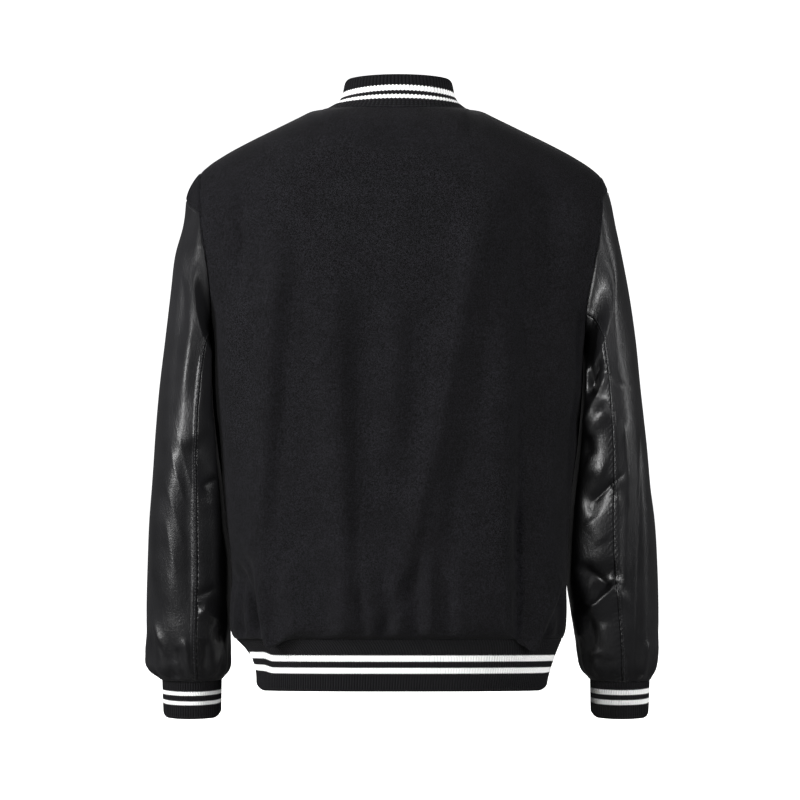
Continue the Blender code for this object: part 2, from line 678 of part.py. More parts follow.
def ring_angles():
    """Armhole angles of the sleeve's columns: the knots and the middles between them, all the way round."""
    knots = np.array(ARMHOLE_KNOTS)
    half = np.sort(np.concatenate([knots, (knots[:-1] + knots[1:]) / 2]))
    return np.concatenate([-half[:0:-1], half])


def sleeve_grid(angles, start, side):
    """A grid of a sleeve's leather below the share of its fall where each column starts."""
    grid_angle, row = np.meshgrid(angles, np.array(SLEEVE_ROWS))
    return np.stack(sleeve_point(grid_angle, start + (1 - start) * row, side), axis=-1)


def add_sleeve(side):
    """The leather of a sleeve in two panels, and the wool cap at its head."""
    name = "left" if side == LEFT else "right"
    angles = ring_angles()[:-1]
    points = sleeve_grid(angles, cap_share(angles, side), side)
    normals = grid_normals(points, -side, closed=True)
    head = np.abs(angles) <= CAP_REACH[side]
    cap_normals = normals[0, head].copy()
    for index in np.nonzero(~head & (np.abs(angles) <= CAP_REACH[side] + 0.1))[0]:
        normals[0, index] = armhole_normal(angles[index], side)
    first = int(np.nonzero(np.isclose(angles, FRONT_SEAM_ANGLE))[0][0])
    last = int(np.nonzero(np.isclose(angles, BACK_SEAM_ANGLE[side]))[0][0])
    count = len(angles)
    panels = {"top": range(first, last + 1), "under": range(last, first + count + 1)}
    for piece, columns in panels.items():
        picked = [column % count for column in columns]
        grid = pull_in(points[:, picked], ("top", "foot", "start", "end"))
        add_wall(f"sleeve_{name}_{piece}", grid, normals[:, picked], "black_leather", LEATHER_WALL)
    add_cap(f"sleeve_cap_{name}", angles[head], cap_normals, side)


def add_cap(name, angles, foot_normals, side):
    """The wool crescent between the armhole seam and the leather, ending just short of its tips."""
    grid_angle, row = np.meshgrid(angles, np.array(CAP_ROWS))
    points = np.stack(sleeve_point(grid_angle, cap_share(angles, side) * row, side), axis=-1)
    for tip, inside in ((0, 1), (-1, -2)):
        points[:, tip] = points[:, inside] + (points[:, tip] - points[:, inside]) * CAP_TIP
    normals = grid_normals(points, -side)
    normals[0] = [armhole_normal(angle, side) for angle in angles]
    normals[-1] = foot_normals
    for tip, inside in ((0, 1), (-1, -2)):
        normals[1:-1, tip] = unit(normals[0, tip] + normals[-1, tip])
    add_wall(name, pull_in(points, ("top", "foot")), normals, "black_wool", WOOL_WALL)


# ---------------------------------------------------------------- rib knit
def add_rib_band(name, outer, inner, closed):
    """A band of rib knit: ribbed rows outside, plain rows inside, the rims joined by strips."""
    shape = bmesh.new()
    out = [[shape.verts.new(point) for point in row] for row in outer]
    ins = [[shape.verts.new(point) for point in row] for row in inner]
    spans = range(len(out[0]) if closed else len(out[0]) - 1)
    for upper, lower in zip(out[:-1], out[1:]):
        for i in spans:
            j = (i + 1) % len(upper)
            shape.faces.new([upper[i], upper[j], lower[j], lower[i]])
    inner_spans = range(len(ins[0]) if closed else len(ins[0]) - 1)
    for upper, lower in zip(ins[:-1], ins[1:]):
        for i in inner_spans:
            j = (i + 1) % len(upper)
            shape.faces.new([lower[i], lower[j], upper[j], upper[i]])
    for row, turned in ((0, False), (-1, True)):
        join_rim(shape, out[row], ins[row], closed, turned)
    if not closed:
        for end, turned in ((0, False), (-1, True)):
            join_end(shape, [row[end] for row in out], [row[end] for row in ins], turned)
    bmesh.ops.triangulate(shape, faces=shape.faces[:])
    bmesh.ops.recalc_face_normals(shape, faces=shape.faces[:])
    return add_object(name, shape, "black_rib")


def join_rim(shape, fine, coarse, closed, turned):
    """A strip of triangles between a finely and a coarsely divided edge."""
    per = len(fine) // len(coarse) if closed else (len(fine) - 1) // (len(coarse) - 1)
    count = len(coarse) if closed else len(coarse) - 1
    for i in range(count):
        j = (i + 1) % len(coarse)
        middle = per // 2
        for k in range(per):
            a = fine[(i * per + k) % len(fine)]
            b = fine[(i * per + k + 1) % len(fine)]
            corner = coarse[i] if k < middle else coarse[j]
            shape.faces.new([a, b, corner] if turned else [b, a, corner])
        tip = fine[(i * per + middle) % len(fine)]
        shape.faces.new([coarse[i], tip, coarse[j]] if turned else [coarse[j], tip, coarse[i]])


def join_end(shape, outer, inner, turned):
    """Close the end of an open band between its outer and inner rows."""
    count = max(len(outer), len(inner)) - 1
    for i in range(count):
        corners = [outer[i], outer[i + 1], inner[min(i + 1, len(inner) - 1)], inner[min(i, len(inner) - 1)]]
        corners = list(dict.fromkeys(corners))
        shape.faces.new(corners if turned else corners[::-1])


def ribs_along(path, ribs):
    """Even places along a polyline, a crest and a valley for each rib, and the places of its own points."""
    steps = np.linalg.norm(np.diff(path, axis=0), axis=1)
    walked = np.concatenate([[0], np.cumsum(steps)])
    places = np.linspace(0, walked[-1], ribs * 2 + 1)
    return places / walked[-1], walked / walked[-1]


def resample(points, shares, walked):
    return np.stack([np.interp(shares, walked, points[:, axis]) for axis in range(3)], axis=-1)


def level_out(points, closed):
    """Unit vectors, level, that point out of a ring that is walked clockwise seen from above."""
    if closed:
        run = np.roll(points, -1, axis=0) - np.roll(points, 1, axis=0)
    else:
        run = np.gradient(points, axis=0)
    return unit(np.stack([-run[:, 1], run[:, 0], np.zeros(len(points))], axis=-1))


def band_from_rings(name, rings, ribs, inner_columns, closed):
    """A rib band through rings of outer points, all walked the same way round, top ring first."""
    first = rings[0]
    shares, walked = ribs_along(first, ribs)
    inner_shares = np.linspace(0, 1, inner_columns + 1)
    if closed:
        shares = shares[:-1]
        inner_shares = inner_shares[:-1]
    valley = (np.arange(len(shares)) % 2 == 1)[:, None]
    outer, inner = [], []
    for ring in rings:
        crest = resample(ring, shares, walked)
        outer.append(crest - level_out(crest, closed) * RIB_RELIEF * valley)
    for ring in rings:
        plain = resample(ring, inner_shares, walked)
        inner.append(plain - level_out(plain, closed) * RIB_WALL)
    add_rib_band(name, outer, inner, closed)


def hem_ring(level):
    """The hem band's outer ring, from the lapped right end round the back to the left end."""
    columns = body_columns()
    halves = {}
    for side in (LEFT, RIGHT):
        for face in (BACK, FRONT):
            angle = np.radians(90) * columns
            x = (hem_seam_half(side) - HEM_DRAW_IN[side] * level) * np.sin(angle) * side
            y = (depth_at_seam(angle, face) - HEM_DRAW_BACK * level * np.cos(angle)) * face
            z = HEM_SEAM_Z + HEM_TILT * depth_at_seam(angle, face) * face
            z = z - SEAM_GAP - (HEM_HEIGHT - SEAM_GAP) * level
            halves[side, face] = np.stack([x, y, z], axis=-1)
    right_front = halves[RIGHT, FRONT]
    left_front = halves[LEFT, FRONT][::-1]
    right_end = right_front[:1] + np.array([[LAP, 0, 0]])
    left_end = left_front[-1:] - np.array([[LAP, 0, 0]])
    ring = np.concatenate(
        [
            right_end,
            right_front,
            halves[RIGHT, BACK][-2::-1],
            halves[LEFT, BACK][1:],
            left_front[1:],
            left_end,
        ]
    )
    tuck = (RIB_WALL + SEAM_GAP) * (1 - ease((-ring[:, 0] - LAP) / LAP_FADE))
    first_half = np.arange(len(ring)) < len(ring) // 4
    ring[:, 1] += np.where(first_half, tuck, 0.0)
    return ring


def add_hem():
    rings = [dense(hem_ring(level)) for level in (0.0, 1.0)]
    band_from_rings("hem_rib", rings, HEM_RIBS, HEM_RIBS // 4, False)


def dense(ring, parts=4):
    """The same polyline with each run cut into equal parts."""
    pieces = [np.linspace(a, b, parts, endpoint=False) for a, b in zip(ring[:-1], ring[1:])]
    return np.concatenate(pieces + [ring[-1:]])


def collar_ring(share):
    """A ring of the collar, from its right front end round the back to its left front end."""
    columns = np.linspace(0, 1, NECK_COLUMNS + 1)
    half = read(COLLAR, "half_width", share)
    middle = read(COLLAR, "middle_x", share)
    rows = []
    turn = np.radians(90) * columns
    for side, face, order in (
        (RIGHT, FRONT, 1),
        (RIGHT, BACK, -1),
        (LEFT, BACK, 1),
        (LEFT, FRONT, -1),
    ):
        deep = read(COLLAR, "back" if face == BACK else "front", share)
        x = half * np.sin(turn) * side + middle
        y = deep * np.cos(turn) * face
        lift = read(COLLAR, "back_rise", share) if face == BACK else -read(COLLAR, "front_drop", share)
        z = read(COLLAR, "side_z", share) + lift * np.cos(turn)
        points = np.stack([x, y, z], axis=-1)[::order]
        rows.append(points if not rows else points[1:])
    ring = np.concatenate(rows)
    ring[:, 2] += SEAM_GAP
    ring[0, 0] -= COLLAR_FRONT_GAP
    ring[-1, 0] += COLLAR_FRONT_GAP
    return ring


def add_collar():
    rings = [collar_ring(share) for share in (1.0, 0.35, 0.0)]
    band_from_rings("collar_rib", rings, COLLAR_RIBS, COLLAR_RIBS // 4, False)


def cuff_ring(level, side):
    table = SLEEVE[side][-1]
    turn = np.linspace(0, 2 * np.pi, 121) * -side
    middle = (table.outer + table.inner) / 2
    x = (middle + (CUFF_HALF_WIDTH - 0.0010 * level) * np.cos(turn)) * side
    y = table.middle_y - 0.004 * level + CUFF_HALF_DEPTH * np.sin(turn)
    z = np.full_like(x, -table.down - SEAM_GAP) - CUFF_HEIGHT * level
    return np.stack([x, y, z], axis=-1)


def add_cuff(side):
    rings = [cuff_ring(level, side) for level in (0.0, 0.55, 1.0)]
    name = "cuff_left" if side == LEFT else "cuff_right"
    band_from_rings(name, rings, CUFF_RIBS, CUFF_RIBS // 5 * 2, True)


# ---------------------------------------------------------------- snap caps
def add_snaps():
    """Domed caps down the middle of the lap, the last one on the hem band."""
    wool = front_half(LEFT)[:, 2]
    rib = hem_ring(0.5)[-2]
    first = wool[0, 2] - SNAP_FIRST_DROP
    heights = np.linspace(first, rib[2], SNAP_COUNT)
    for number, z in enumerate(heights, start=1):
        on_rib = number == SNAP_COUNT
        falling = wool[::-1]
        y = rib[1] if on_rib else np.interp(z, falling[:, 2], falling[:, 1])
        ahead = np.interp(z - 0.005, falling[:, 2], falling[:, 1])
        behind = np.interp(z + 0.005, falling[:, 2], falling[:, 1])
        tilt = -np.arctan2(HEM_DRAW_BACK, HEM_HEIGHT) if on_rib else np.arctan2(behind - ahead, 0.010)
        add_snap(f"snap_{number}", (0.0, y - SEAM_GAP, z), tilt)


def add_snap(name, place, tilt):
    """A low dome with a rolled rim: half its outline, turned about its own axis."""
    outline = (
        (0.0, SNAP_HEIGHT),
        (SNAP_RADIUS * 0.62, SNAP_HEIGHT * 0.84),
        (SNAP_RADIUS, SNAP_HEIGHT * 0.34),
        (SNAP_RADIUS * 0.93, 0.0),
        (0.0, 0.0),
    )
    shape = bmesh.new()
    verts = [shape.verts.new((radius, 0.0, height)) for radius, height in outline]
    for a, b in zip(verts[:-1], verts[1:]):
        shape.edges.new((a, b))
    item = add_object(name, shape, "black_snap")
    turned = item.modifiers.new("turn", "SCREW")
    turned.steps = SNAP_SIDES
    turned.render_steps = SNAP_SIDES
    turned.use_merge_vertices = True
    turned.merge_threshold = 0.0001
    item.location = place
    item.rotation_euler = (np.radians(90) - tilt, 0.0, 0.0)
    return item


# ---------------------------------------------------------------- assembly
clear_scene()
JACKET = bpy.data.collections.new("varsity_jacket")
bpy.context.scene.collection.children.link(JACKET)
MATERIALS = {name: make_material(name) for name in FINISHES}

add_back()
for wearer_side in (LEFT, RIGHT):
    add_front(wearer_side)
    add_sleeve(wearer_side)
    add_cuff(wearer_side)
add_collar()
add_hem()
add_snaps()
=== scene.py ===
"""Varsity jacket, dressed: wool body, leather sleeves, striped rib bands, seams, stitches and snaps.

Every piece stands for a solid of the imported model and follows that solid's own section functions on a
finer grid, with the smaller folds laid on top. Metres, +Z up; the jacket's back faces +Y, its front -Y,
the wearer's left is +X and the origin is the middle of the neck opening.
"""

from collections import namedtuple

import bmesh
import bpy
import numpy as np
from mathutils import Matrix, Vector


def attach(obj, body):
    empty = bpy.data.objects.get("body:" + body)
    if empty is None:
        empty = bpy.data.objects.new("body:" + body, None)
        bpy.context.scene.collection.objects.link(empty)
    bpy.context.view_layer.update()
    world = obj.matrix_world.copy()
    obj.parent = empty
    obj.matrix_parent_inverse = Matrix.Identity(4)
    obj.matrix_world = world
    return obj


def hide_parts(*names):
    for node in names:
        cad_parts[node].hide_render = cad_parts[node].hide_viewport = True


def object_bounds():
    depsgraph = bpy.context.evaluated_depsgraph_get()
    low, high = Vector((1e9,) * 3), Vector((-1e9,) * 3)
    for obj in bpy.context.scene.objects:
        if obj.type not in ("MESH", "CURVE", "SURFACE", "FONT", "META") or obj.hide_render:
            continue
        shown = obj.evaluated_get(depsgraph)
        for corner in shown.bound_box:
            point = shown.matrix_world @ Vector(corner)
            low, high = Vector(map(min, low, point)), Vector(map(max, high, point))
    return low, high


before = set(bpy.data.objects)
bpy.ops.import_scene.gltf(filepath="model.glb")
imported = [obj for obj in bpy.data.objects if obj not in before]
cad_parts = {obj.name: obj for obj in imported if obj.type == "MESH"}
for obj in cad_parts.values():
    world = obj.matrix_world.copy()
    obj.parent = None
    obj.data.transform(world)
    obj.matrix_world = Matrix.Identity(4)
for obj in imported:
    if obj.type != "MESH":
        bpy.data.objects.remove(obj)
CAD_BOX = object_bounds()

LEFT, RIGHT = 1, -1
BACK, FRONT = 1, -1
SIDE_NAME = {LEFT: "left", RIGHT: "right"}
FACE_NAME = {BACK: "back", FRONT: "front"}
BORDERS = ("top", "foot", "start", "end")

# ---------------------------------------------------------------- driving sizes
WOOL_WALL = 0.0020
LEATHER_WALL = 0.0015
RIB_WALL = 0.0030
SEAM_GAP = 0.0003

# neck opening, measured along the neck seam; the share of the top line that it takes up
NECK_MIDDLE_X = 0.0045
NECK_HALF_WIDTH = 0.0835
NECK_Y = {BACK: 0.062, FRONT: 0.080}
NECK_SIDE_Z = -0.0035
NECK_DROP = {BACK: 0.0033, FRONT: 0.0815}
NECK_SHARE = 9 / 26

# hem seam: a ring that tips down towards the front. The band below it draws in towards its folded edge,
# the sooner on its way down the higher the curve
HEM_SEAM_Z = -0.618
HEM_TILT = 0.099
HEM_HEIGHT = 0.0584
HEM_DRAW_IN = {LEFT: 0.0235, RIGHT: 0.0165}
HEM_DRAW_BACK = 0.0060
HEM_DRAW_CURVE = {LEFT: 3.0, RIGHT: 1.6}
# the band is pinched up a little at the left end of the back
PINCH_X = 0.150
PINCH_WIDTH = 0.006
PINCH_LIFT = 0.0042
PINCH_DEPTH = 0.0030

# how far round its section the body's panel reaches at the shoulder; lower down it ends where the section
# meets the armhole seam, which it has come round to between these shares of the armhole's height
SHOULDER_FAN = 52.0
FAN_START = 0.10
FAN_END = 0.60
# the shares of the height in which the neck line spreads out to the section, and the shoulder rounds over
NECK_SPREAD = 0.22
SHOULDER_ROUNDING = 0.17
# the blouson's sag over the hem
SAG_START = 0.88
SAG_SIDE = 0.006
SAG_MIDDLE = 0.003

# front lap: its width, the gap in it, and the columns that it takes up before the middle
LAP = 0.0125
LAP_GAP = 0.0006
LAP_FADE = 0.018
LAP_ACROSS = 0.035
LAP_COLUMNS = (1.0, 0.97, 0.92, 0.84, 0.72, 0.55, 0.36, 0.18)

# armhole ring, and the sleeve that grows out of it: how far below the armhole it reaches its full depth,
# how it stays clear of the body and how softly it gives way to it
ARMHOLE_DEPTH_Y = 0.064
UNDERARM_Z = -0.285
SLEEVE_TWIST = 36.0
SLEEVE_BOXINESS = 2.25
SLEEVE_ROUNDING = 0.033
SLEEVE_RADIUS = 0.055
SLEEVE_FILL = {LEFT: 0.45, RIGHT: 1.0}
SLEEVE_RELIEF_START = 1.5
SLEEVE_CLEARANCE = 0.0030
WALL_BLEND = 0.005
CLEAR_ABOVE = 0.94
BACK_SEAM_ANGLE = {LEFT: 140.0, RIGHT: 126.0}
FRONT_SEAM_ANGLE = -154.0
CAP_HEIGHT = {LEFT: 0.033, RIGHT: 0.018}
CAP_REACH = {LEFT: 60.0, RIGHT: 45.0}
CAP_FULLNESS = 1.6
CAP_TRIM = 0.985

# rib knit
HEM_RIBS = 316
CUFF_RIBS = 70
COLLAR_RIBS = 104
COLLAR_HEIGHT = 0.034
COLLAR_FRONT_GAP = 0.0012
COLLAR_ARCH = 0.0040
CUFF_HEIGHT = 0.0440
CUFF_HALF_WIDTH = 0.0352
CUFF_HALF_DEPTH = 0.0320
CUFF_TAPER = 0.0010
CUFF_LEAN = 0.004
KNIT_RELIEF = 0.0010
KNIT_ROUNDNESS = 0.7
KNIT_EDGE = 0.0016
KNIT_TUCK_LENGTH = 0.0035
KNIT_TUCK_SINK = 0.0026
# the rounded corners of the bands' free edges: how far they rise, and over which share of the half width
Corner = namedtuple("Corner", "rise share")
HEM_CORNER = Corner(0.011, 0.075)
CUFF_CORNER = Corner(0.007, 0.20)
COLLAR_CORNER = Corner(0.004, 0.08)
CORNER_CURVE = 4

# the covered cord at the neck seam
PIPING_RADIUS = 0.0021
PIPING_SIDES = 12
PIPING_SINK = 0.6
PIPING_BORE = 0.2

# gathers: their number round the seam, how far they slip from even places, and their place and height.
# They stay calm this far (radians) either side of a sleeve seam
HEM_GATHERS = 34
HEM_GATHER_SLIP = 1.7
HEM_GATHER_HEIGHT = 0.0010
HEM_GATHER_START = 0.82
HEM_GATHER_RISE = 0.12
CUFF_GATHERS = 12
CUFF_GATHER_SLIP = 1.3
CUFF_GATHER_HEIGHT = 0.0018
CUFF_GATHER_START = 0.600
CUFF_GATHER_RISE = 0.045
CUFF_GATHER_END = 0.667
CUFF_GATHER_FALL = 0.008
SEAM_CALM = 0.25
# where the sleeves' creases have run out, and how the body's folds run out towards its borders and the lap
CREASE_END = 0.655
CREASE_FADE = 0.030
RUN_OUT_TOP = 0.10
RUN_OUT_FOOT = 0.03
RUN_OUT_FINE = 0.02
RUN_OUT_SIDE = 0.12
LAP_CALM = 0.025
LAP_CALM_FADE = 0.02
# how a fold of the sleeve's back or front fades round to the other face
FACE_SHARE = 0.3
FACE_TURN = 1.2
# a fold runs out over this share of its length to either side of its ends
FOLD_ENDS = 0.15
# the body's folds are drawn deeper than their tables say
BODY_FOLD_GAIN = 1.75
BODY_FINE_GAIN = 1.4
# how far relief on the body leans sideways with the turn of its section
RELIEF_LEAN = 0.45

# how the corner between the neck line and the shoulder line is smoothed: as shares across and down
NECK_POINT_REACH = 0.09
NECK_POINT_FADE = 0.02
NECK_POINT_PASSES = 24

# how cloth turns down into a seam, and how a topstitched edge is raised by what is folded under it
Roll = namedtuple("Roll", "depth width")
WOOL_ROLL = Roll(0.0016, 0.0040)
LEATHER_ROLL = Roll(0.0011, 0.0022)
WELT_HEIGHT = 0.0006
WELT_WIDTH = 0.0056
WELT_FADE = 0.0020
# how far a sleeve's leather and its cap reach in under the neighbour above
Tuck = namedtuple("Tuck", "under sink")
HEAD_TUCK = Tuck(0.0040, 0.0024)
CAP_TUCK = Tuck(0.0010, 0.0014)

# topstitching: the stitches' form, and how far each row runs from its border
STITCH_PITCH = 0.0037
STITCH_LENGTH = 0.0028
STITCH_RADIUS = 0.00048
STITCH_SIDES = 6
STITCH_RINGS = ((-1.0, 0.45), (-0.7, 0.95), (0.7, 0.95), (1.0, 0.45))
STITCH_LOOK_AHEAD = 0.001
SEAM_STITCH = 0.0034
CAP_STITCH = 0.0030
LAP_STITCH = 0.0060

# snap caps on the lap: an outline of (share of the radius, share of the height), from the top of the dome
# to its foot, and how much smaller the hollow under it is
SNAP_RADIUS = 0.0075
SNAP_HEIGHT = 0.0032
SNAP_COUNT = 7
SNAP_FIRST_DROP = 0.016
SNAP_OUTLINE = (
    (0.02, 1.0), (0.35, 0.96), (0.62, 0.84), (0.80, 0.66),
    (0.86, 0.52), (0.94, 0.50), (1.0, 0.36), (0.96, 0.0),
)
SNAP_HOLLOW = (0.86, 0.86, 0.6)
SNAP_FACETS = 40

FINENESS = 1.0
NECK_COLUMNS = int(30 * FINENESS)
SHOULDER_COLUMNS = int(50 * FINENESS)
BODY_ROWS = int(172 * FINENESS)
TOP_COLUMNS = int(112 * FINENESS)
UNDER_COLUMNS = int(38 * FINENESS)
SLEEVE_ROWS = int(230 * FINENESS)
CAP_COLUMNS = int(60 * FINENESS)
CAP_ROWS = int(16 * FINENESS)
RIB_SAMPLES = 4
BAND_ROWS = 20
HEM_QUARTER = 120
COLLAR_QUARTER = 60
CUFF_STEPS = 241
TURN_STEPS = 721
SHARP_ANGLE = 60.0
# the rough lengths that the close rows and columns beside an edge are set out on
PANEL_LENGTH = 0.56
PANEL_HALF_WIDTH = 0.23
TOP_WIDTH = 0.30
UNDER_WIDTH = 0.09
CAP_LENGTH = 0.030
EDGE_PLACES = (0.0004, 0.0010, 0.0018, 0.0028, 0.0042, 0.0058, 0.0076)

Shoulder = namedtuple("Shoulder", "x z")
SHOULDER_POINT = {LEFT: Shoulder(0.2308, -0.0767), RIGHT: Shoulder(0.2325, -0.0811)}

# the size that each cloth piece is cut to, as far as it shows: width, length and area
Cut = namedtuple("Cut", "width length area")

# ---------------------------------------------------------------- colours, as light, and grains
WOOL_DEEP = (0.0003, 0.0003, 0.0004)
WOOL_NAP = (0.0090, 0.0088, 0.0108)
# painted highlight: the colour of pale flecks that stand for the nap's fibres catching the light
WOOL_PAINTED_GLINT = (0.0500, 0.0500, 0.0510)
WOOL_FRESH = (0.84, 0.84, 0.84)
WOOL_WORN = (1.16, 1.16, 1.16)
LEATHER_DEEP = (0.0066, 0.0066, 0.0072)
LEATHER_WORN = (0.0112, 0.0112, 0.0122)
KNIT_BLACK = (0.0046, 0.0045, 0.0055)
# painted shade: the black knit's colour in the valleys between its ribs, darker than on the crests
KNIT_VALLEY_PAINTED_SHADE = (0.0008, 0.0008, 0.0010)
KNIT_WHITE = (0.93, 0.93, 0.92)
# painted shade: the white stripes' colour in the valleys between the ribs, greyer than on the crests
KNIT_WHITE_PAINTED_SHADE = (0.60, 0.60, 0.60)
THREAD_DEEP = (0.010, 0.010, 0.011)
THREAD_PALE = (0.035, 0.035, 0.037)
SNAP_DEEP = (0.010, 0.010, 0.011)
SNAP_WORN = (0.020, 0.020, 0.021)
PALE = (0.9, 0.9, 0.9)
WHITE = (1.0, 1.0, 1.0)

LEVEL = (0.0, 0.0, 0.0)
EVEN = (1.0, 1.0, 1.0)
Grain = namedtuple("Grain", "scale detail rough warp stretch turn", defaults=[2.0, 0.5, 0.0, EVEN, LEVEL])
WOOL_CLUMPS = Grain(740.0, 4.0, 0.70, 0.6)
WOOL_FIBRES = Grain(1500.0, 3.0, 0.7, 1.2, (1.0, 1.0, 0.32), (0.3, 0.9, 0.2))
WOOL_CLOUD = Grain(26.0, 3.0, 0.6)
PEBBLES = 760.0
LEATHER_PORES = Grain(1900.0, 2.0, 0.6)
LEATHER_WRINKLES = Grain(105.0, 5.0, 0.62, 1.6, (1.0, 1.0, 0.34), (0.25, 0.5, 0.1))
LEATHER_CROSS = Grain(230.0, 4.0, 0.66, 1.0, (0.5, 1.0, 1.0), (0.2, -0.7, 0.3))
LEATHER_BROAD = Grain(17.0)
KNIT_YARN = Grain(900.0, 3.0, 0.6)
THREAD_TWIST = Grain(2200.0)
SNAP_WEAR = Grain(300.0, 4.0, 0.6)
# the ranges of the grains, or of the distance from a rib's crest, over which colour, painted shade, gloss and
# relief change
CLUMP_SHARE = 0.65
NAP_RANGE = (0.452, 0.572)
CLOUD_RANGE = (0.35, 0.70)
# the next two set where the painted highlight flecks of the nap show: where the fibre and the clump grains
# both run high
GLINT_FIBRES_RANGE = (0.70, 0.80)
GLINT_CLUMPS_RANGE = (0.60, 0.70)
HANDLED_RANGE = (0.32, 0.70)
GLOSS_RANGE = (0.30, 0.41)
WRINKLE_RANGE = (0.28 * 0.35, 0.28)
# the next two, by distance from a rib's crest, blend the knit's colours into the painted shade of the valleys
# between ribs; the first also sets where the stitches' relief shows
CREST_RANGE = (0.22, 0.48)
WHITE_SHADE_RANGE = (0.30, 0.50)
WEAR_RANGE = (0.3, 0.7)
WEAR_GLOSS = (0.22, 0.38)
# puckers beside the leather's seams
PUCKER_REACH = 0.0110
PUCKER_PITCH = 0.0074
PUCKER_UNEVEN = Grain(60.0, 1.0)
# the knit's rows of loops, and how its stripes' edges step from rib to rib
STITCH_ROW = 0.0021
STITCH_SLANT = 1.6
KNIT_JAG = 0.0019
KNIT_BLUR = 0.0004

# lights: azimuth counts from behind the jacket (+Y) towards the wearer's left; a lamp of the role gloss shows
# only in reflections, one of the role matt only lights the cloth, and one of the role both does both
SoftBox = namedtuple("SoftBox", "azimuth away z width height watts role")
SOFT_BOXES = {
    "low_left": SoftBox(34.0, 2.4, -0.55, 0.50, 1.0, 48.0, "gloss"),
    "tall_right": SoftBox(-78.0, 2.4, 0.15, 0.40, 1.7, 17.0, "gloss"),
    "above": SoftBox(-24.0, 2.6, 0.75, 0.90, 0.9, 10.0, "gloss"),
    "raking": SoftBox(62.0, 2.4, 0.50, 0.50, 1.3, 150.0, "matt"),
    "soft_right": SoftBox(-34.0, 2.5, 0.20, 1.00, 1.5, 72.0, "matt"),
    "front": SoftBox(180.0, 2.2, 1.15, 1.30, 0.8, 26.0, "both"),
}
ROOM_STRENGTH = 0.07
BACKDROP_RADIUS = 9.0
FLOOR_DROP = 0.10
CAMERA_DISTANCE = 2.7
CAMERA_HEIGHT = -0.340
CAMERA_LENS = 104.7
CAMERA_SENSOR = 36.0


# ---------------------------------------------------------------- tables
def tabled(columns, plain, *rows, **settings):
    """Rows under their columns' names, lengths written in millimetres; the `plain` columns aren't lengths."""
    kind = namedtuple("Row", columns, **settings)
    units = [1.0 if name in plain.split() else 1000.0 for name in kind._fields]
    return tuple(kind(*(value / unit for value, unit in zip(row, units))) for row in rows)


def folds(*rows):
    """Ridges (+) and troughs (-) along a line from top to foot; sharpness 2 is soft, 1 comes to an edge."""
    columns = "top_x top_z foot_x foot_z half_width height sharpness"
    return tabled(columns, "sharpness", *rows, defaults=[2.0])


def creases(*rows):
    """A sleeve's folds; a turn of 0 is its outer side, 90 its back, 180 its inner side, -90 its front."""
    columns = "start_turn start_down end_turn end_down half_width height sharpness"
    return tabled(columns, "start_turn end_turn sharpness", *rows, defaults=[2.0])


# the shoulder seam's fall from the neck point to the shoulder point
SHOULDER_LINE = tabled(
    "share fall", "share fall",
    (0, 0),
    (0.1, 0.035),
    (0.2, 0.128),
    (0.4, 0.318),
    (0.6, 0.508),
    (0.8, 0.718),
    (0.93, 0.884),
    (1, 1),
)

# the body from the shoulder (0) to the hem seam (1): how far each side reaches from the middle, and how
# boxy its cross-section is (2 is a plain ellipse)
BODY = tabled(
    "share left right back front boxiness", "share boxiness",
    (0, 230.8, 232.5, 62, 80, 2.3),
    (0.03, 230, 231, 80, 92, 2.3),
    (0.08, 227.6, 229, 98, 103, 2.3),
    (0.15, 224, 225.5, 113, 114, 2.3),
    (0.25, 219, 220, 124, 124, 2.5),
    (0.385, 216.5, 212, 131, 132, 3.1),
    (0.483, 216.3, 210, 131, 135, 2.8),
    (0.589, 211.1, 205.1, 129, 136, 2.5),
    (0.677, 204.9, 199, 128, 137, 2.4),
    (0.757, 200.9, 195.7, 127, 138, 2.3),
    (0.831, 195.5, 193.7, 127, 139, 2.3),
    (0.887, 195.6, 192.5, 128, 140, 2.3),
    (0.94, 196.4, 192.5, 129, 141, 2.3),
    (0.965, 195.8, 191.5, 129, 141, 2.3),
    (0.985, 193.2, 189.2, 126, 137, 2.3),
    (1, 190, 187.2, 118, 126, 2.3),
)

# the armhole seam, from the shoulder point (0) to the underarm (1)
ARMHOLE = tabled(
    "share left right", "share",
    (0, 230.8, 232.5),
    (0.14, 227.6, 229),
    (0.25, 225.2, 226.6),
    (0.36, 224, 225.2),
    (0.45, 221.2, 222.5),
    (0.57, 218.1, 219),
    (0.75, 215.3, 212.8),
    (1, 216.5, 212),
)

# the sleeves at depths below the origin: their outer and inner reach, half their depth front to back and
# their middle y
SLEEVE = tabled(
    "down outer_left inner_left outer_right inner_right half_depth middle_y", "",
    (80, 246.2, 180, 241, 180, 56, 0),
    (110, 247.4, 179, 244, 179, 63, 0),
    (131, 249.2, 178, 247.5, 178, 68, 0),
    (173, 259.2, 177, 256.4, 177, 74, -1),
    (215, 264.5, 180, 264.5, 179, 77, -2),
    (270, 271.4, 188, 272.6, 187, 78, -3),
    (326, 278.4, 196, 278.4, 195, 76, -4),
    (382, 283.6, 198, 284.8, 197, 72, -6),
    (437, 287.8, 197, 290.1, 196, 68, -12),
    (479, 291.9, 196, 296.6, 190, 64, -18),
    (535, 295.1, 195, 301, 191, 60, -26),
    (577, 297, 196, 302.9, 198, 57, -32),
    (618, 297.8, 198.5, 303.5, 206, 53, -38),
    (638, 298.5, 199, 303, 209.5, 49, -41),
    (656, 296, 200.5, 300.5, 214, 43, -43),
    (669, 281.5, 209, 295.5, 223, 33, -44),
)

# the collar from its seam (0) to its top edge (1), as a ring at each level
COLLAR = tabled(
    "share half_width middle_x back front side_z back_rise front_drop", "share",
    (0, 83.5, 4.5, 62, 80, -3.5, -3.3, 81.5),
    (0.35, 70, 2.2, 53.5, 79, 9, -1, 78),
    (1, 62.2, 1.7, 47, 73.5, 30, 2, 68),
)

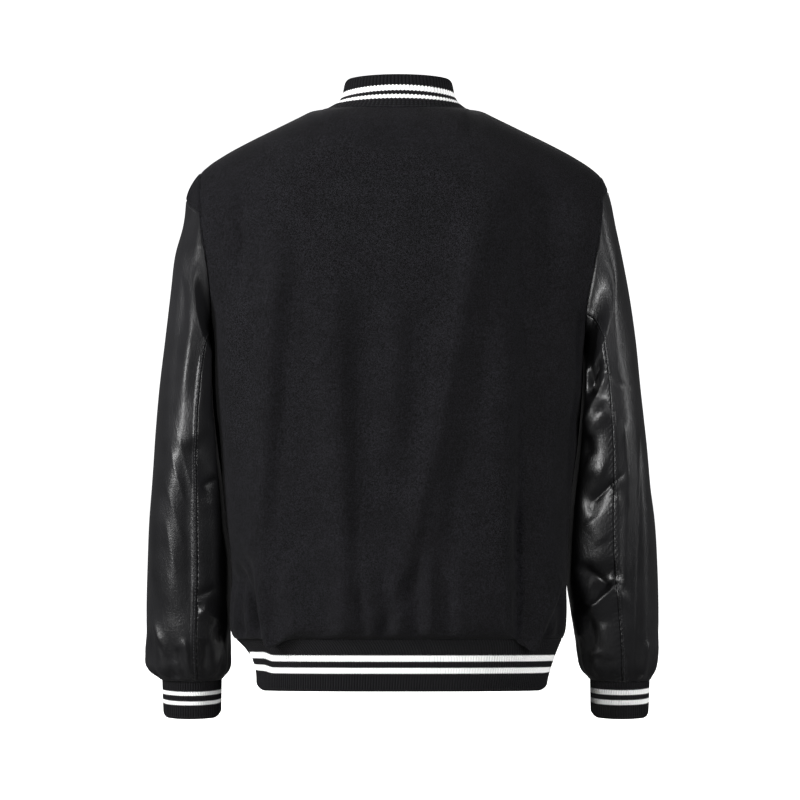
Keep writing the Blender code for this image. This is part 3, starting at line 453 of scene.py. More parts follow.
# the folds that the solids have too
BODY_FOLDS = {
    BACK: folds(
        (169, -119, 169, -188, 12, -1.4),
        (135, -174, 154, -561, 20, 6.2),
        (73, -197, 61, -588, 21, 5.5),
        (2, -230, 11, -395, 15, 2.8),
        (-87, -147, -14, -515, 18, 6.2),
        (-115, -252, -117, -588, 18, 5),
        (-144, -230, -139, -561, 16, -3),
        (-160, -97, -148, -230, 30, -6),
        (167, -517, 166, -601, 9, -5.5),
        (117, -517, 115, -601, 12, 3.8),
        (-133, -456, -134, -601, 9, -4.2),
        (189, -540, 178, -618, 8, -5),
        (-178, -540, -158, -616, 10, 4),
    ),
    FRONT: folds(
        (170, -150, 120, -330, 18, -4),
        (-166, -145, -128, -350, 18, -4.5),
        (105, -400, 90, -600, 20, 4),
        (-85, -380, -105, -600, 22, 3.5),
        (150, -520, 135, -616, 10, -4.5),
        (-146, -530, -128, -616, 10, -4.5),
    ),
}
SLEEVE_CREASES = {
    LEFT: creases(
        (78, 190, 82, 330, 11, 4),
        (60, 200, 64, 360, 11, -3),
        (100, 390, 125, 450, 14, -5),
        (40, 420, 46, 560, 15, 3.5),
        (-70, 400, -130, 450, 15, -6),
        (-60, 350, -120, 370, 14, -5),
    ),
    RIGHT: creases(
        (105, 265, 112, 345, 14, -6),
        (96, 350, 132, 375, 12, 4.5),
        (88, 440, 125, 462, 13, -5),
        (84, 560, 128, 585, 14, 5.5),
        (86, 535, 130, 550, 12, -5.5),
        (-70, 395, -130, 445, 15, -6),
        (-62, 345, -122, 370, 14, -5),
    ),
}

# smaller folds of the sleeves, only in this scene, seen from the back or the front: x counts outwards
SLEEVE_FINE = {
    (LEFT, BACK): folds(
        (227.5, -186, 225, -262, 5.5, 2.6, 1.6),
        (225, -262, 223.8, -345, 6, 2, 1.7),
        (231, -190, 219, -183, 3.4, 3.4, 1.3),
        (219.5, -198, 217.2, -245, 4, -5.5, 1.5),
        (234.5, -176, 220, -168, 5, -2.6, 1.8),
        (252.4, -165, 259.2, -345, 10, 1.8, 2),
        (243.3, -150, 239.2, -270, 8, -2.2, 2),
        (259.2, -415, 261.8, -570, 13, 3.2, 1.8),
        (244, -395, 240, -560, 7, -1.6, 1.8),
        (250, -384, 238, -434, 3, 0.8, 1.3),
        (259.2, -400, 243, -462, 3.2, 0.9, 1.3),
        (264, -438, 248, -500, 3, 0.8, 1.3),
        (266, -480, 256, -540, 3.4, 0.7, 1.3),
        (210.3, -365, 211.5, -428, 5, 3.4, 1.4),
        (223, -440, 208, -430, 3.6, -4.6, 1.3),
        (212.5, -452, 210.4, -565, 5, 3, 1.5),
        (233.5, -566, 211, -556, 5, -3, 1.5),
        (230, -582, 209.5, -594, 7, 3.4, 1.6),
        (202, -566, 194.5, -634, 4, 2.6, 1.3),
        (285, -596, 266, -655, 5, 3.4, 1.4),
        (279, -620, 262, -662, 3.6, -3, 1.4),
        (256, -628, 250, -662, 3.6, -3, 1.3),
        (248, -618, 244, -662, 3.6, 2.4, 1.3),
        (224, -620, 230, -662, 4, -2.8, 1.3),
        (204, -615, 214, -660, 4, 3, 1.3),
    ),
    (LEFT, FRONT): folds(
        (248, -170, 230, -240, 8, -3, 1.6),
        (245, -340, 215, -375, 6, -5, 1.3),
        (256, -372, 218, -400, 6, 4, 1.4),
        (250, -412, 216, -436, 5.5, -4.8, 1.3),
        (258, -455, 220, -470, 6, 3.4, 1.5),
        (262, -460, 264, -580, 11, 2.8, 1.8),
        (266, -610, 258, -660, 4, -3, 1.3),
        (232, -605, 238, -660, 4, 3, 1.3),
    ),
    (RIGHT, BACK): folds(
        (228.2, -126, 235, -166, 3.6, -2.6, 1.4),
        (242, -154, 230, -186, 3.4, -2.6, 1.4),
        (225.5, -168, 226.2, -208, 6, 3.4, 1.6),
        (221.5, -186, 230, -180, 2.2, -1, 1.3),
        (220.5, -200, 229, -194, 2.2, -1, 1.3),
        (236, -175, 244, -300, 8, 1.8, 2),
        (218.3, -215, 231, -300, 5, 2.6, 1.5),
        (209, -262, 214, -330, 6, -8, 1.6),
        (230, -314, 209, -366, 6, 4.4, 1.5),
        (225.5, -298, 211, -334, 3.6, -3.4, 1.4),
        (233, -310, 265, -331, 2, -1.1, 1.3),
        (212, -382, 214, -402, 7, -2.6, 1.8),
        (252.4, -370, 259, -432, 5.8, 2.6, 1.5),
        (259, -432, 256.5, -570, 5.8, 2.6, 1.6),
        (274.2, -372, 272.9, -642, 1.8, -1.8, 1.2),
        (282, -400, 283, -630, 8, 2, 1.8),
        (211, -416, 232, -422, 12, 3, 2),
        (242, -434, 219, -455, 3.8, -4.2, 1.3),
        (242, -434, 253, -425, 3.2, -2, 1.3),
        (216, -478, 233, -500, 11, 2.2, 1.8),
        (208, -532, 240, -556, 7, -6.4, 1.5),
        (245.5, -552, 223.5, -580, 3.8, 5, 1.3),
        (226, -576, 212, -574, 3.4, 2, 1.3),
        (199, -588, 207.5, -618, 6, 3.2, 1.5),
        (218, -590, 225, -630, 7, -3, 1.7),
        (234, -600, 242, -640, 8, 2.2, 1.8),
        (286, -622, 280, -662, 4.5, 3, 1.4),
        (262, -636, 265, -662, 3.6, -2, 1.3),
        (229, -636, 234, -662, 3.6, -2.2, 1.3),
    ),
    (RIGHT, FRONT): folds(
        (246, -165, 228, -235, 8, -3, 1.6),
        (242, -332, 213, -366, 6, -5.2, 1.3),
        (254, -366, 217, -396, 6, 4.2, 1.4),
        (250, -408, 215, -430, 5.5, -4.6, 1.3),
        (260, -450, 221, -474, 6, 3.2, 1.5),
        (270, -470, 272, -590, 11, 2.6, 1.8),
        (274, -612, 266, -660, 4, -3, 1.3),
        (240, -606, 246, -660, 4, 3, 1.3),
    ),
}

# gathers over the hem and slack in the body's panels, only in this scene; x is signed
BODY_FINE = {
    BACK: folds(
        (99, -548, 88, -604, 5, -3, 1.5),
        (83, -560, 84, -606, 7, -2.2, 1.5),
        (46, -550, 38, -604, 5, -2.6, 1.5),
        (6.6, -534, 2.2, -600, 7, 3, 1.8),
        (-20, -520, -21, -602, 6, -1.8, 1.6),
        (-32, -517, -35, -602, 9, 2.4, 1.8),
        (-56, -545, -56, -604, 6, -2, 1.6),
        (-75, -517, -77, -602, 13, 2.8, 2),
        (-96, -560, -98, -606, 5.5, -2.4, 1.5),
        (-148, -120, -162, -290, 34, -11, 2),
        (113, -205, 142, -490, 10, -4.8, 2),
        (181, -114, 181, -215, 8, -3.4, 1.8),
        (97, -180, 79, -400, 11, 2.6, 2),
        (53, -270, 47.5, -520, 9, -3, 2),
        (-40, -420, -12, -560, 9, -2.8, 2),
        (-12, -535, 20, -600, 8, -3, 1.8),
        (-136, -330, -134, -530, 11, -3.4, 2),
        (-121, -500, -131, -602, 4.4, -3, 1.4),
        (-176, -540, -149, -618, 9, 3, 1.9),
        (-184, -555, -160, -612, 6, -5, 1.7),
        (127, -560, 124, -606, 6, -2.2, 1.6),
        (170, -500, 144, -616, 9, 3.4, 1.9),
        (183, -530, 159, -606, 6, -6, 1.7),
        (187, -560, 176, -606, 5, 2, 1.8),
        (40, -250, 33, -480, 11, -1.8, 2),
        (93, -330, 100, -500, 11, -1.6, 2),
        (-61, -380, -56, -520, 9, -1.8, 1.8),
        (-101, -200, -90, -330, 12, -2.2, 2),
        (-169, -360, -165, -500, 10, 2.2, 2),
    ),
    FRONT: folds(
        (125, -470, 115, -610, 8, 1.8, 1.8),
        (70, -500, 66, -612, 7, -1.8, 1.8),
        (45, -540, 44, -612, 6, 1.6, 1.8),
        (150, -300, 145, -520, 12, -2, 2),
        (-120, -480, -112, -612, 8, 1.8, 1.8),
        (-72, -510, -70, -612, 7, -1.8, 1.8),
        (-48, -530, -50, -612, 6, 1.6, 1.8),
        (-150, -310, -146, -520, 12, -2, 2),
    ),
}

# where the wool droops over the seam to the hem band, at the foot of the two deepest folds of the back
DROOPS = tabled(
    "x inner_width outer_width depth", "",
    (146, 22, 7, 20.5),
    (-149, 17, 6, 25),
    (82, 16, 16, 3),
    (-60, 20, 20, 3),
)

# the knit bands' white stripes, from their start to their end below the seam
STRIPES = {
    "hem_rib": tabled("start end", "", (17.8, 24.6), (31.8, 38.1)),
    "collar_rib": tabled("start end", "", (8.6, 12.2), (16.6, 22.2)),
    "cuff_left": tabled("start end", "", (11.8, 16.3), (23.2, 27.5)),
    "cuff_right": tabled("start end", "", (9.7, 15.4), (21.6, 27.3)),
}


# ---------------------------------------------------------------- helpers
def read(table, column, at):
    """The smooth curve through one column of a table, against the table's first column."""
    places = np.array([row[0] for row in table], dtype=float)
    values = np.array([getattr(row, column) for row in table], dtype=float)
    slopes = np.gradient(values, places)
    at = np.clip(at, places[0], places[-1])
    index = np.clip(np.searchsorted(places, at, side="right") - 1, 0, len(places) - 2)
    step = places[index + 1] - places[index]
    share = (at - places[index]) / step
    start = values[index] * (1 + 2 * share) + slopes[index] * step * share
    end = values[index + 1] * (3 - 2 * share) - slopes[index + 1] * step * (1 - share)
    return start * (1 - share) ** 2 + end * share**2


def ease(share):
    """A ramp from 0 to 1 that starts and ends softly."""
    share = np.clip(share, 0.0, 1.0)
    return share * share * (3 - 2 * share)


def round_over(share):
    """A quarter circle: rises at once, then levels out at 1."""
    return np.sqrt(np.maximum(0.0, 1 - (1 - np.clip(share, 0.0, 1.0)) ** 2))


def unit(vectors):
    return vectors / np.linalg.norm(vectors, axis=-1, keepdims=True)


def boxy(sine, boxiness):
    """How deep an ellipse made boxy still is, where it has come sideways by `sine` of its half width."""
    sideways = np.minimum(np.abs(sine), 1.0)
    return (1 - sideways**boxiness) ** (1 / boxiness)


def ridge(x, z, start, end, fold):
    """The height of a fold whose crest lies along the line start-end of a plane."""
    run = np.array(end) - np.array(start)
    length = np.hypot(*run)
    along = ((x - start[0]) * run[0] + (z - start[1]) * run[1]) / length**2
    distance = ((x - start[0]) * run[1] - (z - start[1]) * run[0]) / length
    across = np.exp(-((np.abs(distance) / fold.half_width) ** fold.sharpness))
    ends = ease((along + FOLD_ENDS) / (2 * FOLD_ENDS)) * ease((1 + FOLD_ENDS - along) / (2 * FOLD_ENDS))
    return fold.height * across * ends


def fold_height(x, z, rows):
    """The height of all of a table's folds together."""
    height = np.zeros_like(x)
    for fold in rows:
        height = height + ridge(x, z, (fold.top_x, fold.top_z), (fold.foot_x, fold.foot_z), fold)
    return height


def steps_along(points, axis, closed):
    """The way from the neighbour before each point to the one after it, all round where closed."""
    if closed:
        return np.roll(points, -1, axis=axis) - np.roll(points, 1, axis=axis)
    return np.gradient(points, axis=axis)


def grid_normals(points, turned, closed=False):
    """Unit vectors that point out of a grid of points, from its own rows and columns."""
    return unit(turned * np.cross(steps_along(points, 1, closed), np.gradient(points, axis=0)))


def walk(line):
    """The distance walked along a line at each of its points."""
    return np.concatenate([[0], np.cumsum(np.linalg.norm(np.diff(line, axis=0), axis=1))])


def along_line(at, walked, line):
    """What a line carries at distances walked along it."""
    return np.stack([np.interp(at, walked, line[:, axis]) for axis in range(3)], axis=-1)


def places(count, length, at_start, at_end):
    """Places from 0 to 1: even ones, and close ones beside an edge that turns into a seam."""
    close = np.array(EDGE_PLACES) / length
    parts = [np.linspace(0, 1, count)]
    if at_start:
        parts.append(close)
    if at_end:
        parts.append(1 - close)
    return np.unique(np.concatenate(parts).round(6))


def unwrapped(points, side):
    """Distance of every point of a grid from one of its borders, walked along the grid."""
    grid = points if side in ("top", "foot") else points.swapaxes(0, 1)
    steps = np.linalg.norm(np.diff(grid, axis=0), axis=2)
    walked = np.concatenate([np.zeros((1, steps.shape[1])), np.cumsum(steps, axis=0)])
    if side in ("foot", "end"):
        walked = walked[-1:] - walked
    return walked if side in ("top", "foot") else walked.T


def roll_under(points, normals, sides, roll):
    """Turn the named borders of a grid down, as a seam does to the cloth beside it."""
    depth = np.zeros(points.shape[:2])
    for side in sides:
        share = np.clip(unwrapped(points, side) / roll.width, 0, 1)
        depth = np.maximum(depth, roll.depth * (1 - round_over(share)))
    return points - normals * depth[..., None]


def raise_welt(points, normals, sides):
    """Lift a strip beside the named borders, where the seam allowance is stitched down under it."""
    lift = np.zeros(points.shape[:2])
    for side in sides:
        away = unwrapped(points, side)
        lift = np.maximum(lift, WELT_HEIGHT * ease((WELT_WIDTH + WELT_FADE - away) / WELT_FADE))
    return points + normals * lift[..., None]


def tuck_head(points, normals, tuck):
    """One more row before the first, pushed in under the neighbour so that no light comes through."""
    back = unit(points[:1] - points[1:2]) * tuck.under - normals[:1] * tuck.sink
    return np.concatenate([points[:1] + back, points]), np.concatenate([normals[:1], normals])


# ---------------------------------------------------------------- meshes
def place_object(name, data):
    item = bpy.data.objects.new(name, data)
    bpy.context.scene.collection.objects.link(item)
    return item


def shell(name, outer, inner, material, uv=None, closed=False):
    """A closed mesh between an outer and an inner grid of points; uv is given for the grid's corners."""
    rows, columns = outer.shape[:2]
    spans = columns if closed else columns - 1
    row, column = (part.ravel() for part in np.meshgrid(np.arange(rows - 1), np.arange(spans), indexing="ij"))
    face = [(row, column), (row, column + 1), (row + 1, column + 1), (row + 1, column)]
    quads = [face_of(face, columns, 0), face_of(face[::-1], columns, rows * columns)]
    corners = [face, face[::-1]]
    along = np.arange(spans)
    down = np.arange(rows - 1)
    rims = [
        [(np.zeros(spans, int), along + 1), (np.zeros(spans, int), along)],
        [(np.full(spans, rows - 1), along), (np.full(spans, rows - 1), along + 1)],
    ]
    if not closed:
        first, last = np.zeros(rows - 1, int), np.full(rows - 1, columns - 1)
        rims += [[(down, first), (down + 1, first)], [(down + 1, last), (down, last)]]
    for start, end in rims:
        quads.append(rim_of(start, end, rows, columns))
        corners.append([start, end, end, start])
    verts = np.concatenate([outer.reshape(-1, 3), inner.reshape(-1, 3)])
    mesh = bpy.data.meshes.new(name)
    mesh.from_pydata(verts.tolist(), [], np.concatenate(quads).tolist())
    if uv is not None:
        layer = mesh.uv_layers.new(name="cloth")
        flat = [np.stack([uv[r, c] for r, c in group], axis=1).reshape(-1, 2) for group in corners]
        layer.data.foreach_set("uv", np.concatenate(flat).ravel().astype(np.float32))
    finish_mesh(mesh, material)
    return place_object(name, mesh)


def face_of(corners, columns, offset):
    return np.stack([offset + r * columns + c % columns for r, c in corners], axis=1)


def rim_of(start, end, rows, columns):
    """Quads that join the outer to the inner grid along one border."""
    first, second = (row * columns + column % columns for row, column in (start, end))
    return np.stack([first, second, second + rows * columns, first + rows * columns], axis=1)


def finish_mesh(mesh, material):
    """Point all faces outwards and shade the mesh smooth but for its cut edges."""
    shape = bmesh.new()
    shape.from_mesh(mesh)
    bmesh.ops.recalc_face_normals(shape, faces=shape.faces[:])
    shape.to_mesh(mesh)
    shape.free()
    mesh.shade_smooth()
    mesh.set_sharp_from_angle(angle=np.radians(SHARP_ANGLE))
    mesh.materials.append(MATERIALS[material])


def dress(item, node):
    """Hide the solid that a cloth piece stands for, and hang the piece on the jacket's root so that it keeps
    its place.
    """
    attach(item, "root")
    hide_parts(node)


def trim(item):
    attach(item, "root")


# ---------------------------------------------------------------- stitches
def line_at(points, normals, side, away):
    """The line that runs a distance in from one border of a panel, and the panel's normals along it."""
    walked = unwrapped(points, side)
    if side in ("top", "foot"):
        points, normals, walked = points.swapaxes(0, 1), normals.swapaxes(0, 1), walked.T
    place, out = [], []
    for row_points, row_normals, row_walked in zip(points, normals, walked):
        order = np.argsort(row_walked)
        place.append(along_line(away, row_walked[order], row_points[order]))
        out.append(along_line(away, row_walked[order], row_normals[order]))
    return np.array(place), unit(np.array(out))


def stitch_form():
    """One stitch along X: rings of points that end in blunt tips, and its faces."""
    turns = np.linspace(0, 2 * np.pi, STITCH_SIDES, endpoint=False)
    verts = [
        (STITCH_LENGTH / 2 * x, STITCH_RADIUS * size * np.cos(turn), STITCH_RADIUS * size * np.sin(turn))
        for x, size in STITCH_RINGS
        for turn in turns
    ]
    faces = []
    for a in range(0, len(verts) - STITCH_SIDES, STITCH_SIDES):
        b = a + STITCH_SIDES
        for i in range(STITCH_SIDES):
            j = (i + 1) % STITCH_SIDES
            faces.append((a + i, a + j, b + j, b + i))
    faces.append(tuple(range(STITCH_SIDES))[::-1])
    faces.append(tuple(range(len(verts) - STITCH_SIDES, len(verts))))
    return np.array(verts), faces


def stitches(name, lines):
    """Rows of stitches along lines on a panel, all in one mesh."""
    form, form_faces = stitch_form()
    verts, faces = [], []
    for place, out in lines:
        walked = walk(place)
        for at in np.arange(STITCH_PITCH, walked[-1] - STITCH_PITCH, STITCH_PITCH):
            middle = along_line(at, walked, place)
            along = unit(along_line(at + STITCH_LOOK_AHEAD, walked, place) - middle)
            up = unit(along_line(at, walked, out))
            aside = np.cross(up, along)
            start = len(verts) * len(form)
            verts.append(middle + form[:, :1] * along + form[:, 1:2] * aside + form[:, 2:] * up)
            faces += [tuple(start + i for i in corners) for corners in form_faces]
    mesh = bpy.data.meshes.new(name)
    mesh.from_pydata(np.concatenate(verts).tolist(), [], faces)
    mesh.shade_smooth()
    mesh.materials.append(MATERIALS["black_thread"])
    item = place_object(name, mesh)
    trim(item)
    return item


# ---------------------------------------------------------------- the body's form
def body_side_z(share, side):
    return SHOULDER_POINT[side].z + (HEM_SEAM_Z - SHOULDER_POINT[side].z) * share


def underarm_share(side):
    top = SHOULDER_POINT[side].z
    return (top - UNDERARM_Z) / (top - HEM_SEAM_Z)


def body_reach(share, side):
    """How far the body reaches sideways at a share of its height: the armhole above, the side seam below."""
    top = SHOULDER_POINT[side].z
    armhole = read(ARMHOLE, SIDE_NAME[side], (top - body_side_z(share, side)) / (top - UNDERARM_Z))
    return np.where(share < underarm_share(side), armhole, read(BODY, SIDE_NAME[side], share))


def armhole_edge_y(share, side):
    """How far the armhole seam stands behind (or before) the side of the body."""
    middle = underarm_share(side) / 2
    return ARMHOLE_DEPTH_Y * np.sqrt(np.maximum(0.0, 1 - ((share - middle) / middle) ** 2))


def top_line(across, face, side):
    """The neck seam, then the shoulder seam: x, y and z where `across` is 0 in the middle, 1 at the tip."""
    turn = np.radians(90) * np.clip(across / NECK_SHARE, -1, 1)
    x = NECK_HALF_WIDTH * np.sin(turn) + side * NECK_MIDDLE_X
    y = NECK_Y[face] * np.cos(turn)
    z = NECK_SIDE_Z - NECK_DROP[face] * np.cos(turn)
    share = np.clip((across - NECK_SHARE) / (1 - NECK_SHARE), 0, 1)
    tip = SHOULDER_POINT[side]
    neck_x = NECK_HALF_WIDTH + side * NECK_MIDDLE_X
    x = np.where(share > 0, neck_x + (tip.x - neck_x) * share, x)
    z = np.where(share > 0, NECK_SIDE_Z + (tip.z - NECK_SIDE_Z) * read(SHOULDER_LINE, "fall", share), z)
    return x, np.where(share > 0, 0.0, y), z


def fan_angle(share, face, side):
    """How far round a section the panel reaches: short of the side at the armhole, 90 degrees below it."""
    opened = ease((share / underarm_share(side) - FAN_START) / (FAN_END - FAN_START))
    boxiness = read(BODY, "boxiness", share)
    rim = armhole_edge_y(share, side) / read(BODY, FACE_NAME[face], share)
    met = np.arcsin((1 - np.minimum(rim, 1.0) ** boxiness) ** (1 / boxiness))
    return np.radians(SHOULDER_FAN) * (1 - opened) + met * opened


def sagging(share):
    """How the cloth above the hem seam hangs: 0 where it starts to and at the seam itself."""
    hung = np.clip((share - SAG_START) / (1 - SAG_START), 0, 1)
    return np.sin(np.pi * hung**2)


def depth_at_seam(angle, face):
    """How far the hem seam lies behind (or before) the middle, at a turn of its ring."""
    return read(BODY, FACE_NAME[face], 1.0) * boxy(np.sin(angle), BODY[-1].boxiness)


def body_point(across, share, face, side):
    """Points on the body's outer face for one side, x counted outwards from the middle."""
    top_x, top_y, top_z = top_line(across, face, side)
    fan = fan_angle(share, face, side)
    angle = fan * across
    reach = body_reach(share, side)
    depth = read(BODY, FACE_NAME[face], share)
    edge_y = armhole_edge_y(share, side)
    spread = ease(share / NECK_SPREAD)
    middle_x = side * NECK_MIDDLE_X * (1 - spread) * np.clip(1 - across, 0, 1)
    x = top_x + (reach * np.sin(angle) / np.sin(fan) + middle_x - top_x) * spread
    x = np.where(across >= 1, reach, x)
    boxiness = read(BODY, "boxiness", share)
    rim = boxy(np.sin(fan), boxiness)
    full = (boxy(np.sin(angle), boxiness) - rim) / (1 - rim)
    over = round_over(share / SHOULDER_ROUNDING)
    y = edge_y + (depth - edge_y) * (top_y / NECK_Y[face] * (1 - over) + full * over)
    bottom_z = HEM_SEAM_Z + HEM_TILT * depth_at_seam(np.radians(90) * across, face) * face
    sag = SAG_MIDDLE + (SAG_SIDE - SAG_MIDDLE) * np.sin(angle) ** 4
    z = top_z + (bottom_z - top_z) * share - sag * sagging(share)
    return x * side, y * face, z


def body_relief(x, z, share, angle, face):
    """Outward shift of the body's face: its folds and the gathers above the hem."""
    height = fold_height(x, z, BODY_FOLDS[face])
    waves = np.cos(HEM_GATHERS * angle + HEM_GATHER_SLIP * np.sin(3 * angle))
    height = height + HEM_GATHER_HEIGHT * waves * ease((share - HEM_GATHER_START) / HEM_GATHER_RISE)
    near_seams = ease((1.0 - share) / RUN_OUT_FOOT) * ease(share / RUN_OUT_TOP)
    near_lap = ease((np.abs(x) - LAP_CALM) / LAP_CALM_FADE) if face == FRONT else 1.0
    return height * near_seams * near_lap * BODY_FOLD_GAIN


def body_side_x(y, z, side):
    """How far the body reaches sideways at a given depth y, for the sleeve to stay clear of."""
    top = SHOULDER_POINT[side].z
    share = np.clip((top - z) / (top - HEM_SEAM_Z), underarm_share(side), CLEAR_ABOVE)
    depth = np.where(y >= 0, read(BODY, "back", share), read(BODY, "front", share))
    return read(BODY, SIDE_NAME[side], share) * boxy(y / depth, read(BODY, "boxiness", share))


def on_side_seam(across, share, side):
    return (across >= 1) & (share >= underarm_share(side) - 1e-9)


def droop_over_seam(x, share, face):
    """How far the wool hangs down just above the hem seam, at the foot of the deepest folds."""
    drop = np.zeros_like(x)
    for droop in DROOPS if face == BACK else ():
        beyond = (x - droop.x) * np.sign(droop.x)
        width = np.where(beyond > 0, droop.outer_width, droop.inner_width)
        drop = drop + droop.depth * np.exp(-((beyond / width) ** 2))
    return drop * sagging(share)


def soften_neck_point(points, across, share):
    """Below the seams, smooth the corner that the neck line and the shoulder line make where they meet."""
    near = np.exp(-(((across - NECK_SHARE) / NECK_POINT_REACH) ** 2)) * ease(share / NECK_POINT_FADE)
    even = points.copy()
    for _ in range(NECK_POINT_PASSES):
        even[:, 1:-1] = (even[:, :-2] + 2 * even[:, 1:-1] + even[:, 2:]) / 4
    return points + (even - points) * near[..., None]


def body_half(columns, face, side):
    """One side of the back or front on the fine grid, its columns from the middle outwards."""
    rows = places(BODY_ROWS, PANEL_LENGTH, True, True)
    across, share = np.meshgrid(columns, rows)
    x, y, z = body_point(across, share, face, side)
    angle = fan_angle(share, face, side) * across * side
    relief = body_relief(x, z, share, angle if face == BACK else np.pi - angle, face)
    calm = ease((1.0 - share) / RUN_OUT_FINE)
    relief = relief + fold_height(x, z, BODY_FINE[face]) * BODY_FINE_GAIN * calm
    relief = relief * np.clip((1.0 - across) / RUN_OUT_SIDE, 0, 1)
    out = np.stack([RELIEF_LEAN * np.sin(angle), face * np.cos(angle), np.zeros_like(x)], axis=-1)
    points = np.stack([x, y, z - droop_over_seam(x, share, face)], axis=-1) + unit(out) * relief[..., None]
    points[..., 1] = np.where(on_side_seam(across, share, side), 0.0, points[..., 1])
    return soften_neck_point(points, across, share), across, share


def body_normals(points, across, share, face, side):
    """Outward directions; those on the shoulder and side seams are level with the seam's other side."""
    normals = grid_normals(points, side * face)
    at_shoulder = (share <= 0) & (across >= NECK_SHARE - 1e-9)
    normals[on_side_seam(across, share, side) | at_shoulder, 1] = 0.0
    return unit(normals)


def body_columns():
    neck = np.linspace(0, NECK_SHARE, NECK_COLUMNS + 1)
    shoulder = NECK_SHARE + (1 - NECK_SHARE) * places(SHOULDER_COLUMNS, PANEL_HALF_WIDTH, False, True)
    return np.concatenate([neck, shoulder[1:]])


# ---------------------------------------------------------------- the body's pieces
def wool_panel(node, points, out):
    """A panel of the body with its seam borders rolled down, and its outer face."""
    outer = roll_under(points, out, BORDERS, WOOL_ROLL)
    return shell(f"{node}_wool", outer, points - out * WOOL_WALL, "black_wool"), outer


def make_back():
    columns = body_columns()
    grids, normals = {}, {}
    for side in (LEFT, RIGHT):
        grids[side], across, share = body_half(columns, BACK, side)
        normals[side] = body_normals(grids[side], across, share, BACK, side)
    middle = (grids[LEFT][:, :1] + grids[RIGHT][:, :1]) / 2
    middle_normal = unit(normals[LEFT][:, :1] + normals[RIGHT][:, :1])
    points = np.concatenate([grids[RIGHT][:, :0:-1], middle, grids[LEFT][:, 1:]], axis=1)
    out = np.concatenate([normals[RIGHT][:, :0:-1], middle_normal, normals[LEFT][:, 1:]], axis=1)
    dress(wool_panel("back", points, out)[0], "back")


def front_grid(side):
    columns = np.concatenate([-LAP_ACROSS * np.array(LAP_COLUMNS), body_columns()])
    points, across, share = body_half(columns, FRONT, side)
    lap = len(LAP_COLUMNS)
    for index, along in enumerate(LAP_COLUMNS):
        points[:, index, 0] = points[:, lap, 0] - along * LAP * side
    if side == RIGHT:
        under = 1 - ease((-points[..., 0] - LAP) / LAP_FADE)
        points -= grid_normals(points, 1) * (WOOL_WALL + LAP_GAP) * under[..., None]
    return points, body_normals(points, across, share, FRONT, side)


def make_front(side):
    points, out = front_grid(side)
    node = f"front_{SIDE_NAME[side]}"
    item, outer = wool_panel(node, points, out)
    if side == LEFT:
        stitches("stitches_lap", [line_at(outer, out, "start", LAP_STITCH)])
    dress(item, node)


# ---------------------------------------------------------------- the sleeves' form
def armhole_ring(angle, side):
    """Points on the armhole seam: an angle of 0 is the shoulder, 180 the underarm, positive at the back."""
    top = SHOULDER_POINT[side].z
    middle = (top + UNDERARM_Z) / 2
    z = middle + (top - UNDERARM_Z) / 2 * np.cos(np.radians(angle))
    y = ARMHOLE_DEPTH_Y * np.sin(np.radians(angle))
    x = read(ARMHOLE, SIDE_NAME[side], (top - z) / (top - UNDERARM_Z))
    return x, y, z


def turn_of(angle):
    """The sleeve's turn (0 outer, 90 back, 180 inner) that grows from an armhole angle."""
    turns = np.linspace(-180, 180, TURN_STEPS)
    return np.interp(angle, turns + SLEEVE_TWIST * np.sin(np.radians(turns)), turns)


def cap_share(angle, side):
    """The share of the sleeve's fall that its wool cap covers."""
    full = CAP_HEIGHT[side] / (SLEEVE[-1].down + SHOULDER_POINT[side].z)
    return full * np.maximum(0.0, 1 - (np.abs(angle) / CAP_REACH[side]) ** CAP_FULLNESS)


def sleeve_relief(turn, z, side):
    """Outward shift of a sleeve: its creases and the gathers above the cuff."""
    height = np.zeros_like(z + turn)
    for crease in SLEEVE_CREASES[side]:
        start = (np.radians(crease.start_turn) * SLEEVE_RADIUS, -crease.start_down)
        end = (np.radians(crease.end_turn) * SLEEVE_RADIUS, -crease.end_down)
        height = height + ridge(turn * SLEEVE_RADIUS, z, start, end, crease)
    down = -z
    waves = np.cos(CUFF_GATHERS * turn + CUFF_GATHER_SLIP * np.sin(2 * turn))
    for seam in (BACK_SEAM_ANGLE[side], FRONT_SEAM_ANGLE):
        waves = waves * (1 - np.exp(-(((turn - np.radians(turn_of(seam))) / SEAM_CALM) ** 2)))
    swell = ease((down - CUFF_GATHER_START) / CUFF_GATHER_RISE)
    swell = swell * ease((CUFF_GATHER_END - down) / CUFF_GATHER_FALL)
    return height * ease((CREASE_END - down) / CREASE_FADE) + CUFF_GATHER_HEIGHT * waves * swell


def sleeve_fine(x, z, turn, side):
    """The smaller folds of a sleeve, each on the face that it is seen from."""
    back = fold_height(x, z, SLEEVE_FINE[side, BACK]) * ease(FACE_SHARE + FACE_TURN * np.sin(turn))
    front = fold_height(x, z, SLEEVE_FINE[side, FRONT]) * ease(FACE_SHARE - FACE_TURN * np.sin(turn))
    return back + front


